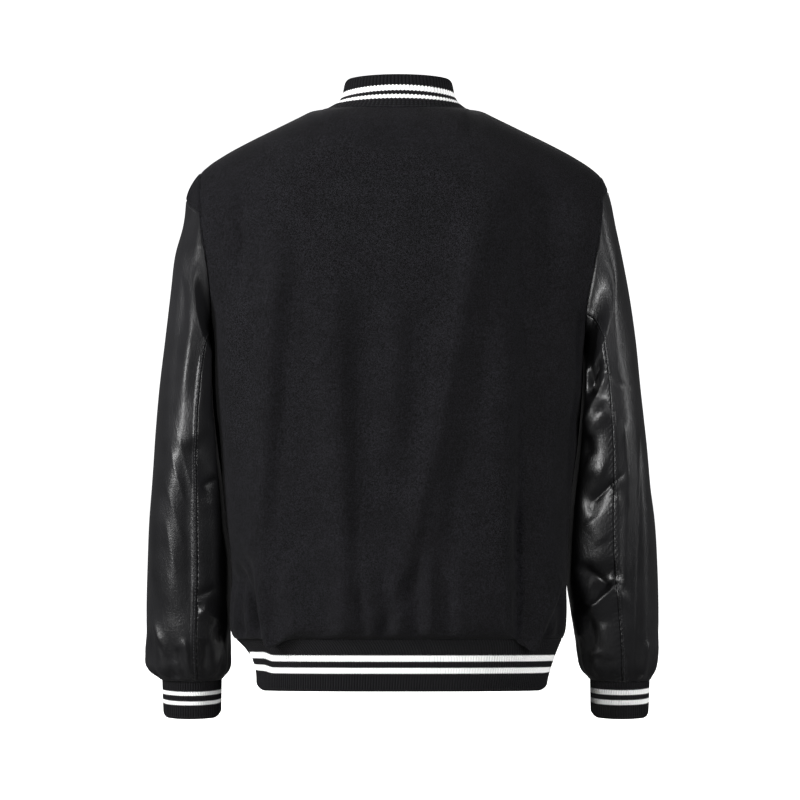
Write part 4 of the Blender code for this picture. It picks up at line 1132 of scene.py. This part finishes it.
def sleeve_point(angle, fall, side):
    """Points on a sleeve's outer face, x counted outwards: `fall` is 0 at the armhole, 1 at the cuff."""
    edge_x, edge_y, edge_z = armhole_ring(angle, side)
    z = edge_z + (-SLEEVE[-1].down - edge_z) * fall
    turn = np.radians(turn_of(angle))
    outer, inner = (read(SLEEVE, f"{reach}_{SIDE_NAME[side]}", -z) for reach in ("outer", "inner"))
    depth, middle_y = read(SLEEVE, "half_depth", -z), read(SLEEVE, "middle_y", -z)
    size = np.abs(np.cos(turn)) ** SLEEVE_BOXINESS + np.abs(np.sin(turn)) ** SLEEVE_BOXINESS
    size = size ** (-1 / SLEEVE_BOXINESS)
    full_x = (outer + inner) / 2 + (outer - inner) / 2 * np.cos(turn) * size
    full_y = middle_y + depth * np.sin(turn) * size
    grown = (edge_z - z) / SLEEVE_ROUNDING
    at_top = np.clip(np.cos(turn), 0, 1) ** 2
    swell = round_over(grown) * (1 - at_top) + (1 - (1 - np.clip(grown, 0, 1)) ** 2) * at_top
    x = edge_x + (full_x - edge_x) * swell
    y = edge_y + (full_y - edge_y) * ease(grown / SLEEVE_FILL[side])
    relief = sleeve_relief(turn, z, side) + sleeve_fine(full_x, z, turn, side)
    relief = relief * ease(grown / SLEEVE_RELIEF_START)
    x = x + relief * np.cos(turn)
    y = y + relief * np.sin(turn)
    wall = body_side_x(y, z, side) + SLEEVE_CLEARANCE * round_over(grown)
    clear = (x + wall + np.sqrt((x - wall) ** 2 + (WALL_BLEND * round_over(grown)) ** 2)) / 2
    return np.where(grown > 0, clear, x) * side, y, z


def sleeve_ring(side):
    """The leather of a whole sleeve, its columns from the front seam over the top to the under panel."""
    span = BACK_SEAM_ANGLE[side] - FRONT_SEAM_ANGLE
    top = FRONT_SEAM_ANGLE + span * places(TOP_COLUMNS, TOP_WIDTH, True, True)
    under = BACK_SEAM_ANGLE[side] + (360 - span) * places(UNDER_COLUMNS, UNDER_WIDTH, True, True)
    angles = np.concatenate([top, under[1:-1]])
    wrapped = (angles + 180) % 360 - 180
    angle, row = np.meshgrid(wrapped, places(SLEEVE_ROWS, PANEL_LENGTH, True, True))
    start = cap_share(angle, side)
    points = np.stack(sleeve_point(angle, start + (1 - start) * row, side), axis=-1)
    return points, grid_normals(points, -side, closed=True), wrapped, len(top)


# ---------------------------------------------------------------- the sleeves' pieces
def make_sleeve(side):
    """The leather of a sleeve in its two panels, their stitching, and the wool cap at its head."""
    name = SIDE_NAME[side]
    points, normals, angles, seam = sleeve_ring(side)
    count = points.shape[1]
    panels = {"top": np.arange(seam), "under": np.arange(seam - 1, count + 1) % count}
    for piece, columns in panels.items():
        grid, out = points[:, columns], normals[:, columns]
        inner = grid - out * LEATHER_WALL
        if piece == "top":
            grid = raise_welt(grid, out, ("start", "end"))
        outer = roll_under(grid, out, BORDERS, LEATHER_ROLL)
        outer, out = tuck_head(outer, out, HEAD_TUCK)
        beside = np.minimum(unwrapped(outer, "start"), unwrapped(outer, "end"))
        uv = np.stack([beside, unwrapped(outer, "top")], axis=-1)
        inner = np.concatenate([outer[:1] - out[:1] * LEATHER_WALL, inner])
        node = f"sleeve_{name}_{piece}"
        item = shell(f"{node}_leather", outer, inner, "black_leather", uv)
        if piece == "top":
            lines = [line_at(outer[1:], out[1:], border, SEAM_STITCH) for border in ("start", "end")]
            place, normal = line_at(outer[1:], out[1:], "top", CAP_STITCH)
            head = np.abs(angles[columns]) < CAP_REACH[side]
            lines.append((place[head], normal[head]))
            stitches(f"stitches_sleeve_{name}", lines)
        dress(item, node)
    make_cap(side)


def make_cap(side):
    """The wool crescent at the head of a sleeve, from the armhole seam to the leather."""
    node = f"sleeve_cap_{SIDE_NAME[side]}"
    reach = CAP_REACH[side] * CAP_TRIM
    rows = places(CAP_ROWS, CAP_LENGTH, True, True)
    angle, row = np.meshgrid(np.linspace(-reach, reach, CAP_COLUMNS), rows)
    points = np.stack(sleeve_point(angle, cap_share(angle, side) * row, side), axis=-1)
    out = grid_normals(points, -side)
    outer = roll_under(points, out, ("top", "foot"), WOOL_ROLL)
    outer, out = tuck_head(outer + out * WELT_HEIGHT, out, CAP_TUCK)
    item = shell(f"{node}_wool", outer, outer - out * WOOL_WALL, "black_wool")
    dress(item, node)


# ---------------------------------------------------------------- knit bands
def level_out(points, closed):
    """Unit vectors, level, that point out of a ring that is walked clockwise seen from above."""
    run = steps_along(points, 0, closed)
    return unit(np.stack([-run[:, 1], run[:, 0], np.zeros(len(points))], axis=-1))


def corner_rise(corner, sine, level):
    """How far a band's free edge is lifted at its rounded corner, where it comes round to the side."""
    return corner.rise * (1 - round_over((1 - sine) / corner.share)) * level**CORNER_CURVE


def knit_band(name, ring_at, ribs, height, closed, up):
    """A ribbed band from its seam (level 0) to its folded edge (level 1); `up` leads from edge to seam."""
    columns = ribs * RIB_SAMPLES
    rib = np.arange(columns + 1) / RIB_SAMPLES
    crest = np.abs(np.sin(np.pi * rib)) ** KNIT_ROUNDNESS - 1
    if closed:
        crest = crest[:-1]
    levels = places(BAND_ROWS, height, False, True)
    outer, inner = [], []
    for level in levels:
        path = ring_at(level)
        walked = walk(path)
        line = along_line(rib[: len(crest)] / ribs * walked[-1], walked, path)
        out = level_out(line, closed)
        folded = KNIT_EDGE * (1 - round_over((1 - level) * height / KNIT_EDGE))
        outer.append(line + out * (crest * KNIT_RELIEF - folded)[:, None])
        inner.append(line - out * (RIB_WALL - folded))
    under = -level_out(outer[0], closed) * KNIT_TUCK_SINK + np.array([0.0, 0.0, KNIT_TUCK_LENGTH * up])
    outer.insert(0, outer[0] + under)
    inner.insert(0, inner[0] + under)
    down = np.concatenate([[-KNIT_TUCK_LENGTH], levels * height])
    down = np.broadcast_to(down[:, None], (len(down), columns + 1))
    uv = np.stack([np.broadcast_to(rib, down.shape), down], axis=-1)
    return shell(f"{name}_knit", np.array(outer), np.array(inner), f"knit_{name}", uv, closed)


def hem_ring(level):
    """The hem band's ring, from the lapped right end round the back to the left end."""
    angle = np.radians(90) * np.linspace(0, 1, HEM_QUARTER)
    quarter = {}
    for side in (LEFT, RIGHT):
        for face in (BACK, FRONT):
            seam_y = depth_at_seam(angle, face)
            drawn = HEM_DRAW_IN[side] * (1 - (1 - level) ** HEM_DRAW_CURVE[side])
            x = (read(BODY, SIDE_NAME[side], 1.0) - drawn) * np.sin(angle) * side
            y = (seam_y - HEM_DRAW_BACK * level * np.cos(angle)) * face
            z = HEM_SEAM_Z + HEM_TILT * seam_y * face - HEM_HEIGHT * level
            z = z + corner_rise(HEM_CORNER, np.sin(angle), level)
            quarter[side, face] = np.stack([x, y, z], axis=-1)
    lap = np.array([[LAP, 0, 0]])
    left_front = quarter[LEFT, FRONT][::-1]
    parts = [quarter[RIGHT, FRONT][:1] + lap, quarter[RIGHT, FRONT], quarter[RIGHT, BACK][-2::-1]]
    ring = np.concatenate(parts + [quarter[LEFT, BACK][1:], left_front[1:], left_front[-1:] - lap])
    tuck = (RIB_WALL + SEAM_GAP) * (1 - ease((-ring[:, 0] - LAP) / LAP_FADE))
    ring[:, 1] += np.where(np.arange(len(ring)) < len(ring) // 4, tuck, 0.0)
    at_back = ring[:, 1] > 0
    beyond = (ring[:, 0] - PINCH_X) / PINCH_WIDTH
    ring[:, 2] += np.where(at_back, PINCH_LIFT * ease(0.5 + beyond / 2) * (1 - level) ** 0.5, 0.0)
    ring[:, 1] -= np.where(at_back, PINCH_DEPTH * np.exp(-(beyond**2)) * (1 - level), 0.0)
    return ring


def collar_ring(level):
    """A ring of the collar at a share of its height, from its right front end round the back."""
    half, middle = read(COLLAR, "half_width", level), read(COLLAR, "middle_x", level)
    turn = np.radians(90) * np.linspace(0, 1, COLLAR_QUARTER)
    rows = []
    for side, face, order in ((RIGHT, FRONT, 1), (RIGHT, BACK, -1), (LEFT, BACK, 1), (LEFT, FRONT, -1)):
        lift = read(COLLAR, "back_rise", level) if face == BACK else -read(COLLAR, "front_drop", level)
        x = half * np.sin(turn) * side + middle
        y = read(COLLAR, FACE_NAME[face], level) * np.cos(turn) * face
        z = read(COLLAR, "side_z", level) + lift * np.cos(turn)
        z = z - COLLAR_ARCH * np.sin(turn) ** 2 * np.sin(np.pi * level)
        z = z - corner_rise(COLLAR_CORNER, np.sin(turn), level)
        points = np.stack([x, y, z], axis=-1)[::order]
        rows.append(points if not rows else points[1:])
    ring = np.concatenate(rows)
    ring[0, 0] -= COLLAR_FRONT_GAP
    ring[-1, 0] += COLLAR_FRONT_GAP
    return ring


def cuff_ring(level, side):
    foot = SLEEVE[-1]
    turn = np.linspace(0, 2 * np.pi, CUFF_STEPS) * -side
    middle = (getattr(foot, f"outer_{SIDE_NAME[side]}") + getattr(foot, f"inner_{SIDE_NAME[side]}")) / 2
    x = (middle + (CUFF_HALF_WIDTH - CUFF_TAPER * level) * np.cos(turn)) * side
    y = foot.middle_y - CUFF_LEAN * level + CUFF_HALF_DEPTH * np.sin(turn)
    z = -foot.down - CUFF_HEIGHT * level
    z = z + corner_rise(CUFF_CORNER, np.abs(np.cos(turn)), level)
    return np.stack([x, y, z], axis=-1)


def tube(name, path, radius, material):
    """A round cord along an open line, closed at both ends by its own thickness."""
    run = unit(np.gradient(path, axis=0))
    aside = unit(np.cross(run, np.array([0.0, 0.0, 1.0])))
    up = np.cross(aside, run)
    turns = np.linspace(0, 2 * np.pi, PIPING_SIDES, endpoint=False)
    ring = [aside * np.cos(turn) + up * np.sin(turn) for turn in turns]
    outer, inner = (
        np.stack([path + offset * radius * size for offset in ring], axis=1) for size in (1.0, PIPING_BORE)
    )
    return shell(name, outer, inner, material, closed=True)


def make_collar():
    """The collar band, and the covered cord where it is sewn to the neck."""
    band = knit_band("collar_rib", collar_ring, COLLAR_RIBS, COLLAR_HEIGHT, False, -1)
    seam = collar_ring(0.0)
    seam[:, 2] -= PIPING_RADIUS * PIPING_SINK
    piping = tube("collar_piping", seam[1:-1], PIPING_RADIUS, "black_wool")
    trim(piping)
    dress(band, "collar_rib")


def make_hem():
    dress(knit_band("hem_rib", hem_ring, HEM_RIBS, HEM_HEIGHT, False, 1), "hem_rib")


def make_cuff(side):
    node = f"cuff_{SIDE_NAME[side]}"
    band = knit_band(node, lambda level: cuff_ring(level, side), CUFF_RIBS, CUFF_HEIGHT, True, 1)
    dress(band, node)


# ---------------------------------------------------------------- snap caps
def snap_places():
    """Where the caps sit down the middle of the lap, and how far each leans with the cloth."""
    points, out = front_grid(LEFT)
    lap = len(LAP_COLUMNS)
    wool, facing = points[::-1, lap], out[::-1, lap]
    rib = hem_ring(0.5)[-2]
    for z in np.linspace(wool[-1, 2] - SNAP_FIRST_DROP, rib[2], SNAP_COUNT):
        if z < wool[0, 2]:
            yield (0.0, rib[1], z), np.arctan2(HEM_DRAW_BACK, HEM_HEIGHT)
        else:
            y = np.interp(z, wool[:, 2], wool[:, 1])
            lean = [np.interp(z, wool[:, 2], facing[:, axis]) for axis in (1, 2)]
            yield (0.0, y, z), np.arctan2(lean[1], -lean[0])


def make_snaps():
    """A domed cap with a rolled rim, turned from half its outline, for each snap."""
    turns = np.linspace(0, 2 * np.pi, SNAP_FACETS, endpoint=False)
    outer = np.array([
        [(r * SNAP_RADIUS * np.cos(t), r * SNAP_RADIUS * np.sin(t), h * SNAP_HEIGHT) for t in turns]
        for r, h in SNAP_OUTLINE
    ])
    for number, (place, lean) in enumerate(snap_places(), start=1):
        item = shell(f"snap_{number}_cap", outer, outer * np.array(SNAP_HOLLOW), "black_snap", closed=True)
        item.location = place
        item.rotation_euler = (np.radians(90) - lean, 0.0, 0.0)
        trim(item)
        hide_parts(f"snap_{number}")


# ---------------------------------------------------------------- materials
class Finish:
    """A material, and the shader nodes that are added to it; an input is a value, or a socket to link."""

    def __init__(self, name, **sockets):
        self.material = bpy.data.materials.new(name)
        self.material.use_nodes = True
        self.tree = self.material.node_tree
        self.put(**sockets)

    def put(self, **sockets):
        """Set or link the shader's own sockets."""
        values = {key.replace("_", " "): value for key, value in sockets.items()}
        self.fill(self.tree.nodes["Principled BSDF"], values)

    def fill(self, item, inputs):
        for key, value in inputs.items():
            socket = item.inputs[key]
            if isinstance(value, bpy.types.NodeSocket):
                self.tree.links.new(value, socket)
            else:
                socket.default_value = (*value, 1.0) if socket.type == "RGBA" else value

    def add(self, kind, inputs, **settings):
        item = self.tree.nodes.new(f"ShaderNode{kind}")
        for key, value in settings.items():
            setattr(item, key, value)
        self.fill(item, inputs)
        return item

    def place(self, stretch=EVEN, turn=LEVEL):
        """Object coordinates, turned and then stretched by the scale's small axes."""
        where = self.add("TexCoord", {}).outputs["Object"]
        return self.add("Mapping", {"Vector": where, "Rotation": turn, "Scale": stretch}).outputs[0]

    def cloth(self):
        """The two coordinates that the cloth's own grid carries."""
        split = self.add("SeparateXYZ", {0: self.add("TexCoord", {}).outputs["UV"]})
        return split.outputs["X"], split.outputs["Y"]

    def noise(self, grain):
        values = {"Vector": self.place(grain.stretch, grain.turn), "Scale": grain.scale}
        values |= {"Detail": grain.detail, "Roughness": grain.rough, "Distortion": grain.warp}
        return self.add("TexNoise", values).outputs["Fac"]

    def math(self, operation, a, b=0.0):
        return self.add("Math", {0: a, 1: b}, operation=operation).outputs[0]

    def times(self, a, b):
        return self.math("MULTIPLY", a, b)

    def plus(self, a, b):
        return self.math("ADD", a, b)

    def span(self, value, low, high, to_low=0.0, to_high=1.0, smooth=False):
        """A value's range turned into another one."""
        kind = "SMOOTHSTEP" if smooth else "LINEAR"
        values = {"Value": value, "From Min": low, "From Max": high, "To Min": to_low, "To Max": to_high}
        return self.add("MapRange", values, interpolation_type=kind).outputs["Result"]

    def mix(self, share, low, high, **settings):
        inputs = {"Factor": share, 6: low, 7: high}
        return self.add("Mix", inputs, data_type="RGBA", **settings).outputs[2]

    def bump(self, height, distance, strength, below=None):
        values = {"Height": height, "Distance": distance, "Strength": strength}
        if below is not None:
            values["Normal"] = below
        return self.add("Bump", values).outputs["Normal"]


def make_wool():
    """Wool melton: a felted nap of short fibres, clumped in places, that scatters light along its edge, with
    pale flecks painted on it as the glints of its fibres.
    """
    wool = Finish("black_wool", Roughness=0.94, Specular_IOR_Level=0.22)
    wool.put(Sheen_Weight=0.015, Sheen_Roughness=0.55)
    clumps, fibres = wool.noise(WOOL_CLUMPS), wool.noise(WOOL_FIBRES)
    nap = wool.plus(wool.times(clumps, CLUMP_SHARE), wool.times(fibres, 1 - CLUMP_SHARE))
    shade = wool.mix(wool.span(nap, *NAP_RANGE), WOOL_DEEP, WOOL_NAP)
    worn = wool.mix(wool.span(wool.noise(WOOL_CLOUD), *CLOUD_RANGE), WOOL_FRESH, WOOL_WORN)
    tinted = wool.mix(1.0, shade, worn, blend_type="MULTIPLY")
    # painted highlight: sparse pale flecks where both grains run high, for fibres of the nap catching the
    # light
    painted_glints = wool.times(wool.span(fibres, *GLINT_FIBRES_RANGE), wool.span(clumps, *GLINT_CLUMPS_RANGE))
    felt = wool.bump(clumps, 0.0009, 0.55)
    wool.put(Base_Color=wool.mix(painted_glints, tinted, WOOL_PAINTED_GLINT), Normal=wool.bump(fibres, 0.0004, 0.6, felt))
    return wool.material


def make_leather():
    """Glossy smooth leather: pebbled grain, fine wrinkles along the arm and puckers beside its seams."""
    leather = Finish("black_leather", Specular_IOR_Level=0.46, Coat_Weight=0.12, Coat_Roughness=0.22)
    grain = leather.add("TexVoronoi", {"Vector": leather.place(), "Scale": PEBBLES}, feature="SMOOTH_F1")
    pores = leather.noise(LEATHER_PORES)
    handled = leather.span(leather.noise(LEATHER_BROAD), *HANDLED_RANGE)
    gloss = leather.plus(leather.span(handled, 0.0, 1.0, *GLOSS_RANGE), leather.times(pores, 0.07))
    beside, along = leather.cloth()
    near_seam = leather.span(beside, 0.0, PUCKER_REACH, 1.0, 0.0, True)
    waves = leather.times(along, 2 * np.pi / PUCKER_PITCH)
    waves = leather.plus(waves, leather.times(leather.noise(PUCKER_UNEVEN), 9.0))
    pucker = leather.times(leather.math("SINE", waves), near_seam)
    # wrinkles are stronger where the leather is handled most
    strength = leather.span(handled, 0.0, 1.0, *WRINKLE_RANGE)
    relief = leather.bump(leather.noise(LEATHER_WRINKLES), 0.0030, strength)
    relief = leather.bump(leather.noise(LEATHER_CROSS), 0.0012, 0.22, relief)
    relief = leather.bump(pucker, 0.0006, 0.28, relief)
    relief = leather.bump(grain.outputs["Distance"], 0.00035, 0.30, relief)
    relief = leather.bump(pores, 0.00018, 0.25, relief)
    leather.put(Base_Color=leather.mix(handled, LEATHER_DEEP, LEATHER_WORN), Roughness=gloss, Normal=relief)
    return leather.material


def make_knit(name):
    """Rib knit in two colours: stripes by the distance from the seam, stitches by rib and row, and painted
    shade in the valleys between the ribs.
    """
    knit = Finish(f"knit_{name}", Roughness=0.90, Specular_IOR_Level=0.22)
    knit.put(Sheen_Weight=0.02, Sheen_Roughness=0.6)
    rib, down = knit.cloth()
    off_crest = knit.math("ABSOLUTE", knit.math("SUBTRACT", knit.math("FRACT", rib), 0.5))
    place = knit.plus(down, knit.times(off_crest, KNIT_JAG))
    white = None
    for stripe in STRIPES[name]:
        after = knit.span(place, stripe.start, stripe.start + KNIT_BLUR)
        before = knit.span(place, stripe.end, stripe.end + KNIT_BLUR, 1.0, 0.0)
        band = knit.times(after, before)
        white = band if white is None else knit.plus(white, band)
    rows = knit.plus(knit.math("DIVIDE", down, STITCH_ROW), knit.times(off_crest, STITCH_SLANT))
    loops = knit.math("SINE", knit.times(rows, 2 * np.pi))
    # painted shade: the knit's colours darken from the ribs' crests into the valleys between them, the black
    # by this share and the white stripes by the next
    crest = knit.span(off_crest, *CREST_RANGE, 1.0, 0.0, True)
    dark = knit.mix(crest, KNIT_VALLEY_PAINTED_SHADE, KNIT_BLACK)
    pale = knit.mix(knit.span(off_crest, *WHITE_SHADE_RANGE, 1.0, 0.0, True), KNIT_WHITE_PAINTED_SHADE, KNIT_WHITE)
    stitch = knit.bump(knit.times(loops, crest), 0.0005, 0.55)
    yarn = knit.bump(knit.noise(KNIT_YARN), 0.0003, 0.5, stitch)
    knit.put(Base_Color=knit.mix(white, dark, pale), Normal=yarn)
    return knit.material


def make_thread():
    thread = Finish("black_thread", Roughness=0.42)
    twist = thread.noise(THREAD_TWIST)
    thread.put(Base_Color=thread.mix(twist, THREAD_DEEP, THREAD_PALE), Normal=thread.bump(twist, 0.0002, 0.4))
    return thread.material


def make_enamel():
    enamel = Finish("black_snap", Metallic=0.6)
    wear = enamel.noise(SNAP_WEAR)
    enamel.put(Base_Color=enamel.mix(wear, SNAP_DEEP, SNAP_WORN))
    enamel.put(Roughness=enamel.span(wear, *WEAR_RANGE, *WEAR_GLOSS))
    return enamel.material


# ---------------------------------------------------------------- surroundings
def add_stage(name, shape):
    """A floor or backdrop: pale wherever it is looked at, but it throws no light on the jacket."""
    mesh = bpy.data.meshes.new(name)
    shape.to_mesh(mesh)
    shape.free()
    pale = Finish(f"pale_{name}", Base_Color=PALE, Roughness=0.9, Emission_Color=WHITE, Emission_Strength=1.0)
    mesh.materials.append(pale.material)
    item = place_object(name, mesh)
    for rays in ("diffuse", "glossy", "transmission", "shadow"):
        setattr(item, f"visible_{rays}", False)
    return item


def make_stage():
    floor = bmesh.new()
    bmesh.ops.create_circle(floor, cap_ends=True, segments=64, radius=BACKDROP_RADIUS)
    add_stage("floor", floor).location.z = CAD_BOX[0][2] - FLOOR_DROP
    dome = bmesh.new()
    bmesh.ops.create_uvsphere(dome, u_segments=48, v_segments=24, radius=BACKDROP_RADIUS)
    add_stage("backdrop", dome)


def make_lights():
    """A dim white room and the soft boxes, each turned to the jacket's middle."""
    world = bpy.data.worlds.new("white_room")
    world.use_nodes = True
    world.node_tree.nodes["Background"].inputs["Color"].default_value = (*WHITE, 1.0)
    world.node_tree.nodes["Background"].inputs["Strength"].default_value = ROOM_STRENGTH
    bpy.context.scene.world = world
    for name, box in SOFT_BOXES.items():
        lamp = bpy.data.lights.new(name, "AREA")
        lamp.shape = "RECTANGLE"
        lamp.size, lamp.size_y = box.width, box.height
        lamp.energy = box.watts
        item = place_object(name, lamp)
        turn = np.radians(box.azimuth)
        place = Vector((np.sin(turn) * box.away, np.cos(turn) * box.away, box.z))
        item.location = place
        item.rotation_euler = (Vector((0.0, 0.0, CAMERA_HEIGHT)) - place).to_track_quat("-Z", "Y").to_euler()
        item.visible_glossy = box.role != "matt"
        item.visible_diffuse = box.role != "gloss"


def make_camera():
    lens = bpy.data.cameras.new("camera")
    lens.sensor_fit = "HORIZONTAL"
    lens.sensor_width = CAMERA_SENSOR
    lens.lens = CAMERA_LENS
    camera = place_object("camera", lens)
    camera.location = (0.0, CAMERA_DISTANCE, CAMERA_HEIGHT)
    camera.rotation_euler = (np.radians(90), 0.0, np.radians(180))
    bpy.context.scene.camera = camera


# ---------------------------------------------------------------- assembly
MATERIALS = {
    "black_wool": make_wool(),
    "black_leather": make_leather(),
    "black_thread": make_thread(),
    "black_snap": make_enamel(),
}
for band_name in STRIPES:
    MATERIALS[f"knit_{band_name}"] = make_knit(band_name)

make_camera()
make_lights()
make_stage()
make_back()
for wearer_side in (LEFT, RIGHT):
    make_front(wearer_side)
    make_sleeve(wearer_side)
    make_cuff(wearer_side)
make_collar()
make_hem()
make_snaps()

bpy.context.scene.view_settings.view_transform = "Standard"
